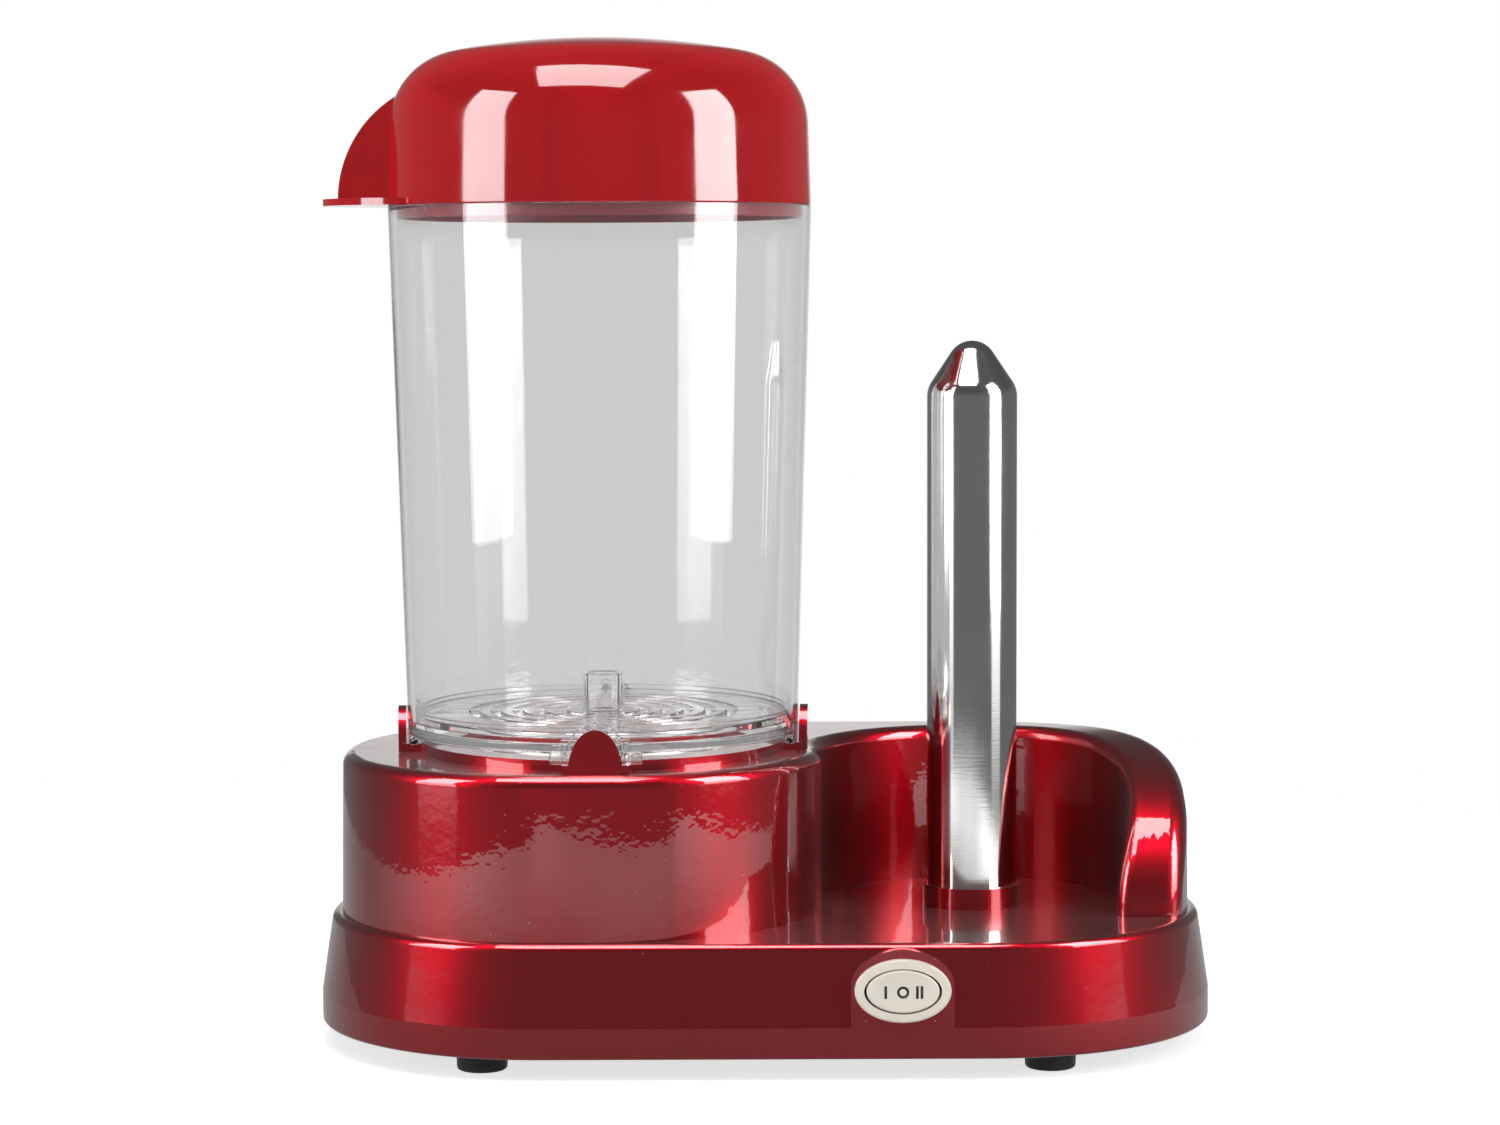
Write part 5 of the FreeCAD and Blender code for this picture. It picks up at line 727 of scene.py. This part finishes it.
def print_marks(form):
    for x in (ONE_X, TWO_X - TWO_GAP / 2, TWO_X + TWO_GAP / 2):
        left = x - MARK_WIDTH / 2
        right = x + MARK_WIDTH / 2
        low = MARK_LOW - MARK_HEIGHT / 2
        high = MARK_LOW + MARK_HEIGHT / 2
        print_strip(form, [(left, low), (right, low), (right, high), (left, high)])
    inside = NOUGHT_RADIUS - MARK_WIDTH
    for index in range(NOUGHT_STEPS):
        corners = []
        for reach, step in ((NOUGHT_RADIUS, index), (inside, index), (inside, index + 1),
                            (NOUGHT_RADIUS, index + 1)):
            angle = 2 * math.pi * step / NOUGHT_STEPS
            corners.append((reach * math.cos(angle), MARK_LOW + reach * math.sin(angle)))
        print_strip(form, corners)


rocker = new_piece("rocker_face", shape_rocker)
smooth(rocker, angle=60.0)
rocker.data.materials.append(cream)
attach(rocker, "rocker")
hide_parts("switch_rocker")

ink, tree, output = new_material("dark_grey_print")
place = on_object(tree)
wear = spread(tree, noise(tree, place, 2500.0, 3.0), 0.5, 0.85)
surface(tree, output, Base_Color=blend(tree, wear, MARK_GREY, MARK_WORN), Roughness=0.45)
marks = new_piece("rocker_marks", print_marks)
smooth(marks)
marks.data.materials.append(ink)
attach(marks, "rocker")

# Dish and bread spike: stainless steel, spun and polished, with the hairlines that wiping leaves
# along the spike and round it, and faint finger marks.
STAINLESS = (0.72, 0.715, 0.705, 1)
STAINLESS_WIPED = (0.62, 0.615, 0.61, 1)
RING_DEPTH = 0.000008
HAIRLINE_DEPTH = 0.000002
polished, tree, output = new_material("polished_stainless")
place = on_object(tree)
along = add_node(tree, "ShaderNodeMapping", Vector=place, Scale=(1, 1, 0.025))
hairs = noise(tree, along.outputs[0], 1500.0, 4.0, 0.7)
around = add_node(tree, "ShaderNodeMapping", Vector=place, Scale=(0.05, 0.05, 1))
rings = noise(tree, around.outputs[0], 1100.0, 4.0, 0.7)
marked = use_group(tree, smudges, Place=place, Least=0.08, Most=0.14)
rough = math_node(tree, "MULTIPLY_ADD", spread(tree, hairs, 0.55, 0.8), 0.1, marked)
tint = blend(tree, noise(tree, place, 60.0, 3.0), STAINLESS, STAINLESS_WIPED)
scratched = bump(tree, hairs, HAIRLINE_DEPTH, Normal=bump(tree, rings, RING_DEPTH))
surface(tree, output, Base_Color=tint, Metallic=1.0, Roughness=rough, Normal=scratched)
finish(polished, "bread_spike", "boiler_dish")

# Container: a tall clear vessel, injection moulded, that leans outwards and stands on four legs
# between the clips. Its walls have a faint wave and haze, and lines where the mould's clip pockets end.
container_low, container_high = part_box("container")
lid_low, lid_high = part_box("lid")
tray_low, tray_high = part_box("sausage_tray")
AXIS = ((container_low[0] + container_high[0]) / 2, 0.0)
LID_RADIUS = (container_high[0] - container_low[0]) / 2
LID_RING_DEPTH = 0.0040
LID_RIM = lid_low[2] + LID_RING_DEPTH
NECK_TOP = container_high[2]
FOOT_LEVEL = container_low[2]
TRAY_LEVEL = tray_low[2]
WALL_FOOT_RADIUS = 0.0639
WALL_THICKNESS = 0.0024
NECK_OUTER = 0.0673
NECK_INNER = 0.0662
LEDGE_INNER = 0.05872
LEDGE_THICKNESS = 0.0018
LEG_WIDTH = 0.0294
LEG_HEIGHT = 0.0034
LEG_FILLET = 0.0006
LEG_STEPS = 12
GAP_STEPS = 32
WALL_STEPS = 8
TRAY_PLAY = 0.0004
INSIDE_TOP = LID_RIM - 0.0020
PLASTIC_EDGE = 0.0003
CLEAR_WALL = (0.785, 0.785, 0.785, 1)


def outer_wall(height):
    """Outer radius of the container's leaning wall."""
    share = (height - FOOT_LEVEL) / (LID_RIM - FOOT_LEVEL)
    return WALL_FOOT_RADIUS + (LID_RADIUS - WALL_FOOT_RADIUS) * share


def inner_wall(height):
    """Inner radius above the ledge."""
    ledge = tray_high[0] - AXIS[0] + TRAY_PLAY
    share = (height - TRAY_LEVEL) / (INSIDE_TOP - TRAY_LEVEL)
    return ledge + (NECK_INNER - ledge) * share


def mould_container(form):
    half = math.asin(LEG_WIDTH / 2 / WALL_FOOT_RADIUS)
    columns = []
    for leg in range(4):
        middle = leg * math.pi / 2
        columns += [(middle - half + 2 * half * step / LEG_STEPS, True) for step in range(LEG_STEPS + 1)]
        gap = math.pi / 2 - 2 * half
        columns += [(middle + half + gap * step / GAP_STEPS, False) for step in range(GAP_STEPS + 1)]
    rows = []
    for angle, on_leg in columns:
        foot = FOOT_LEVEL if on_leg else FOOT_LEVEL + LEG_HEIGHT
        profile = [(outer_wall(foot) - WALL_THICKNESS, foot), (outer_wall(foot), foot)]
        low = FOOT_LEVEL + LEG_HEIGHT + LEG_FILLET
        for step in range(WALL_STEPS + 1):
            height = low + (LID_RIM - low) * step / WALL_STEPS
            profile.append((outer_wall(height), height))
        profile += [(NECK_OUTER, LID_RIM), (NECK_OUTER, NECK_TOP), (NECK_INNER, NECK_TOP)]
        for step in range(WALL_STEPS + 1):
            height = INSIDE_TOP + (TRAY_LEVEL - INSIDE_TOP) * step / WALL_STEPS
            profile.append((inner_wall(height), height))
        profile += [(LEDGE_INNER, TRAY_LEVEL), (LEDGE_INNER, TRAY_LEVEL - LEDGE_THICKNESS),
                    (outer_wall(low) - WALL_THICKNESS, low)]
        rows.append([form.verts.new((AXIS[0] + radius * math.cos(angle), radius * math.sin(angle), height))
                     for radius, height in profile])
    for row, after in zip(rows, rows[1:] + rows[:1]):
        for index in range(len(row)):
            beside = (index + 1) % len(row)
            form.faces.new((row[index], row[beside], after[beside], after[index]))
    bmesh.ops.remove_doubles(form, verts=form.verts, dist=MERGE_DISTANCE)
    bmesh.ops.dissolve_degenerate(form, edges=form.edges, dist=MERGE_DISTANCE)


def round_edges(piece, width, segments, angle=35.0):
    """Rounds the sharp edges of a finished mesh."""
    rounding = piece.modifiers.new("rounded_edges", "BEVEL")
    rounding.width = width
    rounding.segments = segments
    rounding.limit_method = "ANGLE"
    rounding.angle_limit = math.radians(angle)
    rounding.harden_normals = True
    keep_result(piece)


CLIP_ARCH_HALF_WIDTH = 0.0096
CLIP_ARCH_TOP = 0.0131
CLIP_FOOT_HALF_WIDTH = 0.01045
CLIP_FOOT_TOP = 0.0076
LINE_WIDTH = 0.0003
LINE_DEPTH = 0.0002
DEEP_BOUNCE = 6.0
NO_GLOW = (0, 0, 0, 1)
DEEP_GLOW = (0.10, 0.10, 0.10, 1)
pocket, given, result = new_group("pocket_lines", [("Place", "vector", (0, 0, 0))], [("Height", "value")])
parts = parts_of(pocket, given.outputs["Place"])
from_axis = math_node(pocket, "ABSOLUTE", math_node(pocket, "SUBTRACT", parts["X"], AXIS[0]))
aside = math_node(pocket, "MINIMUM", from_axis, math_node(pocket, "ABSOLUTE", parts["Y"]))
above = math_node(pocket, "SUBTRACT", parts["Z"], FOOT_LEVEL)
across = math_node(pocket, "POWER", math_node(pocket, "DIVIDE", aside, CLIP_ARCH_HALF_WIDTH), 2.0)
upward = math_node(pocket, "POWER", math_node(pocket, "DIVIDE", above, CLIP_ARCH_TOP), 2.0)
reach = math_node(pocket, "SQRT", math_node(pocket, "ADD", across, upward))
past_arch = math_node(pocket, "MULTIPLY_ADD", reach, CLIP_ARCH_TOP, -CLIP_ARCH_TOP)
off_arch = math_node(pocket, "ABSOLUTE", past_arch)
beyond = math_node(pocket, "SUBTRACT", aside, CLIP_FOOT_HALF_WIDTH)
over = math_node(pocket, "SUBTRACT", above, CLIP_FOOT_TOP)
off_foot = math_node(pocket, "ABSOLUTE", math_node(pocket, "MAXIMUM", beyond, over))
near = math_node(pocket, "MINIMUM", off_arch, off_foot)
pocket.links.new(spread(pocket, near, 0.0, LINE_WIDTH, 1.0, 0.0), result.inputs["Height"])


def clear_plastic(name, body, waves, depth, lined):
    """Clear plastic with a faint wave and haze, and with the pocket lines where the piece has them.

    Light that passes more walls than are followed would leave black lines, so there the plastic glows a faint
    grey: painted light.
    """
    material, tree, output = new_material(name)
    place = on_object(tree)
    tall = add_node(tree, "ShaderNodeMapping", Vector=place, Scale=(1, 1, 0.3))
    normal = bump(tree, noise(tree, tall.outputs[0], waves, 1.0), depth)
    if lined:
        normal = bump(tree, use_group(tree, pocket, Place=place), LINE_DEPTH, Normal=normal)
    haze = use_group(tree, smudges, Place=place, Least=0.0, Most=0.02)
    path = tree.nodes.new("ShaderNodeLightPath")
    # Painted light: past six walls the plastic glows a faint grey
    deep = math_node(tree, "GREATER_THAN", path.outputs["Transmission Depth"], DEEP_BOUNCE)
    surface(tree, output, Base_Color=body, Roughness=haze, IOR=1.49, Transmission_Weight=1.0, Normal=normal,
            Emission_Color=blend(tree, deep, NO_GLOW, DEEP_GLOW), Emission_Strength=1.0)
    return material


vessel = new_piece("container_vessel", mould_container)
smooth(vessel, angle=40.0)
round_edges(vessel, PLASTIC_EDGE, segments=2)
vessel.data.materials.append(clear_plastic("clear_wall", CLEAR_WALL, waves=26.0, depth=0.00012, lined=True))
vessel.visible_shadow = False
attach(vessel, "container")
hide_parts("container")

# Sausage tray: a clear disc with five rings of slots between four spokes, a low rim and a hollow
# post to lift it by. Its edges are rounded, so that each slot shows as a bright and a dark line.
TRAY_RADIUS = tray_high[0] - AXIS[0]
TRAY_THICKNESS = 0.0020
TRAY_RIM_WIDTH = 0.0016
TRAY_RIM_HEIGHT = 0.0035
POST_RADIUS = 0.0072
POST_HOLLOW = 0.0048
SLOT_OUTERMOST = 0.04402
SLOT_STEP = 0.0071
SLOT_WIDTH = 0.0035
SLOT_RINGS = 5
SPOKE_WIDTH = 0.0050
HUB_RADIUS = 0.0035
COLUMNS_BETWEEN = 24
CLEAR_TRAY = (0.94, 0.94, 0.94, 1)


def mould_tray(form):
    level = TRAY_LEVEL + TRAY_THICKNESS
    bands = [(POST_HOLLOW, level), (POST_RADIUS, tray_high[2])]
    for ring in reversed(range(SLOT_RINGS)):
        outer = SLOT_OUTERMOST - ring * SLOT_STEP
        bands += [(outer - SLOT_WIDTH, level), (outer, None)]
    bands += [(TRAY_RADIUS - TRAY_RIM_WIDTH, level), (TRAY_RADIUS, TRAY_LEVEL + TRAY_RIM_HEIGHT)]
    radii = [HUB_RADIUS] + [radius for radius, top in bands]
    columns = 4 * (COLUMNS_BETWEEN + 1)
    made = {}

    def angle_at(radius, column):
        """Angle of a column: two columns lie on each spoke's edges, the rest between them."""
        spoke, step = divmod(column, COLUMNS_BETWEEN + 1)
        edge = math.asin(SPOKE_WIDTH / 2 / radius)
        if step == 0:
            return spoke * math.pi / 2 - edge
        return spoke * math.pi / 2 + edge + (math.pi / 2 - 2 * edge) * (step - 1) / COLUMNS_BETWEEN

    def corner(ring, column, height):
        """The corner at a ring, a column and a height, made once."""
        column %= columns
        key = (ring, column, round(height, 7))
        if key not in made:
            angle = angle_at(radii[ring], column)
            x = AXIS[0] + radii[ring] * math.cos(angle)
            made[key] = form.verts.new((x, radii[ring] * math.sin(angle), height))
        return made[key]

    def top_of(ring, column):
        """Height of a cell, or none in a slot."""
        if ring >= len(bands):
            return None
        height = bands[ring][1]
        if height is None and column % (COLUMNS_BETWEEN + 1) == 0:
            return level
        return height

    for ring in range(len(bands)):
        for column in range(columns):
            height = top_of(ring, column)
            if height is None:
                continue
            for z in (height, TRAY_LEVEL):
                form.faces.new([corner(ring, column, z), corner(ring + 1, column, z),
                                corner(ring + 1, column + 1, z), corner(ring, column + 1, z)])
    for ring in range(len(bands)):
        for column in range(columns):
            for other_ring, other_column in ((ring + 1, column), (ring, column + 1)):
                here = top_of(ring, column) or TRAY_LEVEL
                there = top_of(other_ring, other_column % columns) or TRAY_LEVEL
                if here == there:
                    continue
                if other_ring > ring:
                    ends = ((ring + 1, column), (ring + 1, column + 1))
                else:
                    ends = ((ring, column + 1), (ring + 1, column + 1))
                low, high = sorted((here, there))
                form.faces.new([corner(*ends[0], low), corner(*ends[1], low),
                                corner(*ends[1], high), corner(*ends[0], high)])
    for z in (level, TRAY_LEVEL):
        form.faces.new([corner(0, column, z) for column in range(columns)])


tray = new_piece("tray_disc", mould_tray)
smooth(tray, angle=50.0)
round_edges(tray, PLASTIC_EDGE, segments=2, angle=50.0)
tray.data.materials.append(clear_plastic("clear_tray", CLEAR_TRAY, waves=90.0, depth=0.00006, lined=False))
tray.visible_shadow = False
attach(tray, "tray")
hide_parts("sausage_tray")

# Lid: a dome of solid red plastic with a fin and a thumb flange on its left, moulded in one
# piece. Its edges are softly rounded, and a ring under its rim enters the container's neck. That
# ring is a rougher, unpolished red, painted much darker as the shade under the rim.
LID_RED = (0.41, 0.0070, 0.0105, 1)
RING_SHADE_RED = (0.13, 0.004, 0.012, 1)
UNPOLISHED_SHADED = 1
LID_TOP = lid_high[2]
LID_DRAFT = 0.0017
LID_CROWN = 0.265
LID_SHOULDER = 0.0245
LID_WALL = 0.0025
LID_EDGE = 0.0005
NECK_SLOT_OUTER = 0.0676
RING_OUTER = 0.0659
RING_INNER = 0.0645
RING_EDGE = 0.0003
NECK_GAP = 0.0003
STEP_TOP = 0.0090
STEP_BEVEL = 0.0020
STEP_GAP = 0.0002
LID_LEAN = math.degrees(math.atan(LID_DRAFT / (LID_TOP - LID_RIM)))
LID_CORNERS = 160
CROWN_STEPS = 9
SHOULDER_STEPS = 18
CROWN_MIDDLE = LID_TOP - LID_CROWN
BURIED_DEPTH = 0.0006
FIN_CENTRE = 0.0455
FIN_RADIUS = 0.0397
FIN_RISE = 0.0016
FIN_THICKNESS = 0.0025
FLANGE_CENTRE = 0.0560
FLANGE_RADIUS = 0.0340
FLANGE_THICKNESS = 0.0022
FIN_EDGE = 0.0006
FIN_STEPS = 40
BURIED_STEPS = 12
FLANGE_EDGE = 0.00105
FLANGE_STEPS = 64
PLATE_EDGE_STEPS = 5
FLAT_FACE_CORNERS = 12


def side_radius(height, inset=0.0):
    """Radius of the lid's leaning side at a height."""
    return LID_RADIUS - inset - (height - LID_RIM) * math.tan(math.radians(LID_LEAN))


def shoulder_middle():
    """Middle of the round between side and crown: it lies on both, offset by the round."""
    radius = side_radius(LID_TOP, LID_SHOULDER)
    height = LID_TOP
    for _ in range(12):
        height = CROWN_MIDDLE + math.sqrt((LID_CROWN - LID_SHOULDER) ** 2 - radius ** 2)
        radius = side_radius(height, LID_SHOULDER / math.cos(math.radians(LID_LEAN)))
    return radius, height


shoulder = shoulder_middle()
crown_end = math.degrees(math.atan2(shoulder[1] - CROWN_MIDDLE, shoulder[0]))


def dome(inset):
    """Crown, shoulder and the top of the side, from the axis outwards."""
    points = [(0.0, LID_TOP - inset)]
    first = 90 - (90 - crown_end) / (CROWN_STEPS + 1)
    points += arc((0, CROWN_MIDDLE), LID_CROWN - inset, first, crown_end, CROWN_STEPS)
    points += arc(shoulder, LID_SHOULDER - inset, crown_end, LID_LEAN, SHOULDER_STEPS)[1:]
    return points


def side_points(inset, low):
    """The leaning side from the shoulder down to a height."""
    heights = [shoulder[1] + (low - shoulder[1]) * share for share in (0.33, 0.66, 1.0)]
    return [(side_radius(height, inset), height) for height in heights]


def turn_lid(form):
    slot_top = NECK_TOP + NECK_GAP
    ring_low = lid_low[2]
    step_top = LID_RIM + STEP_TOP
    profile = dome(0)
    profile += side_points(0, LID_RIM + LID_EDGE)
    profile += arc((side_radius(LID_RIM) - LID_EDGE, LID_RIM + LID_EDGE), LID_EDGE, -15, -90, 4)
    profile += [(NECK_SLOT_OUTER, LID_RIM), (NECK_SLOT_OUTER, slot_top), (RING_OUTER, slot_top)]
    profile += [(RING_OUTER, ring_low + RING_EDGE), (RING_OUTER - RING_EDGE, ring_low)]
    profile += [(RING_INNER + RING_EDGE, ring_low), (RING_INNER, ring_low + RING_EDGE)]
    profile += [(RING_INNER, step_top - STEP_BEVEL), (side_radius(LID_RIM, LID_WALL), step_top)]
    profile += reversed(side_points(LID_WALL, step_top + STEP_GAP))
    profile += reversed(dome(LID_WALL))
    turn(form, profile, LID_CORNERS, AXIS)


def add_plate(form, outline, lift, edge):
    """A plate over an outline; lift turns a place and a side into a point, and its edges are rounded."""
    first = [form.verts.new(lift(place, 0)) for place in outline]
    second = [form.verts.new(lift(place, 1)) for place in outline]
    faces = [form.faces.new(first), form.faces.new(list(reversed(second)))]
    for index in range(len(outline)):
        beside = (index + 1) % len(outline)
        form.faces.new((first[beside], first[index], second[index], second[beside]))
    rims = [line for face in faces for line in face.edges]
    bmesh.ops.bevel(form, geom=rims, offset=edge, offset_type="OFFSET", segments=PLATE_EDGE_STEPS,
                    profile=0.5, affect="EDGES", clamp_overlap=True)


def wall_inside(height):
    """A place within the lid's wall, where the fin and the flange end unseen."""
    if height < shoulder[1]:
        return side_radius(height, BURIED_DEPTH)
    rise = height - shoulder[1]
    return shoulder[0] + math.sqrt((LID_SHOULDER - BURIED_DEPTH) ** 2 - rise ** 2)


def add_fin(form):
    middle = LID_RIM + FIN_RISE
    outline = []
    for index in range(FIN_STEPS + 1):
        angle = math.radians(90 + 90 * index / FIN_STEPS)
        reach = FIN_CENTRE - FIN_RADIUS * math.cos(angle)
        height = middle + FIN_RADIUS * math.sin(angle)
        if reach > wall_inside(height):
            outline.append((reach, height))
    low = LID_RIM + FLANGE_THICKNESS / 2
    outline.append((FIN_CENTRE + FIN_RADIUS, low))
    top = outline[0][1]
    for index in range(BURIED_STEPS + 1):
        height = low + (top - low) * index / BURIED_STEPS
        outline.append((wall_inside(height), height))

    def lift(place, side):
        return AXIS[0] - place[0], (side - 0.5) * FIN_THICKNESS, place[1]

    add_plate(form, outline, lift, FIN_EDGE)


def add_flange(form):
    outline = []
    buried = LID_RADIUS - BURIED_DEPTH
    for index in range(FLANGE_STEPS + 1):
        angle = math.radians(-90 + 180 * index / FLANGE_STEPS)
        x = FLANGE_CENTRE + FLANGE_RADIUS * math.cos(angle)
        y = FLANGE_RADIUS * math.sin(angle)
        if math.hypot(x, y) > buried:
            outline.append((x, y))
    end = math.atan2(outline[-1][1], outline[-1][0])
    for index in range(2 * BURIED_STEPS + 1):
        angle = end - end * index / BURIED_STEPS
        outline.append((buried * math.cos(angle), buried * math.sin(angle)))

    def lift(place, side):
        return AXIS[0] - place[0], place[1], LID_RIM + side * FLANGE_THICKNESS

    add_plate(form, outline, lift, FLANGE_EDGE)


moulded_red, tree, output = new_material("moulded_red")
place = on_object(tree)
clouded = math_node(tree, "MULTIPLY_ADD", noise(tree, place, 24.0, 3.0), 0.12, 0.94)
specks = use_group(tree, dust, Place=place, Amount=0.38)
colour = blend(tree, specks, shaded(tree, LID_RED[:3], clouded), DUST_COLOUR)
gloss = use_group(tree, smudges, Place=place, Least=0.05, Most=0.11)
wave = bump(tree, use_group(tree, orange_peel, Place=place, Waves=260.0), 0.000006)
surface(tree, output, Base_Color=colour, Roughness=gloss, IOR=1.58, Normal=wave)

# Rougher red for the ring under the rim; its dark colour is painted shade
unpolished_shaded_red = grained_plastic("unpolished_shaded_red", RING_SHADE_RED, roughness=0.3, waves=900.0, depth=0.00002)


def mould_lid(form):
    turn_lid(form)
    # The faces under the rim take the darker red: painted shade
    for face in form.faces:
        middle = face.calc_center_median()
        if math.hypot(middle.x - AXIS[0], middle.y) < NECK_SLOT_OUTER and middle.z < NECK_TOP + NECK_GAP:
            face.material_index = UNPOLISHED_SHADED
    add_fin(form)
    add_flange(form)


lid = new_piece("lid_dome", mould_lid)
smooth(lid, angle=38.0)
# The fin's and the flange's flat faces keep their own normals beside the rounded edges
for face in lid.data.polygons:
    if face.loop_total > FLAT_FACE_CORNERS:
        for corner in face.loop_indices:
            lid.data.edges[lid.data.loops[corner].edge_index].use_edge_sharp = True
lid.data.materials.append(moulded_red)
lid.data.materials.append(unpolished_shaded_red)
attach(lid, "lid")
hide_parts("lid")
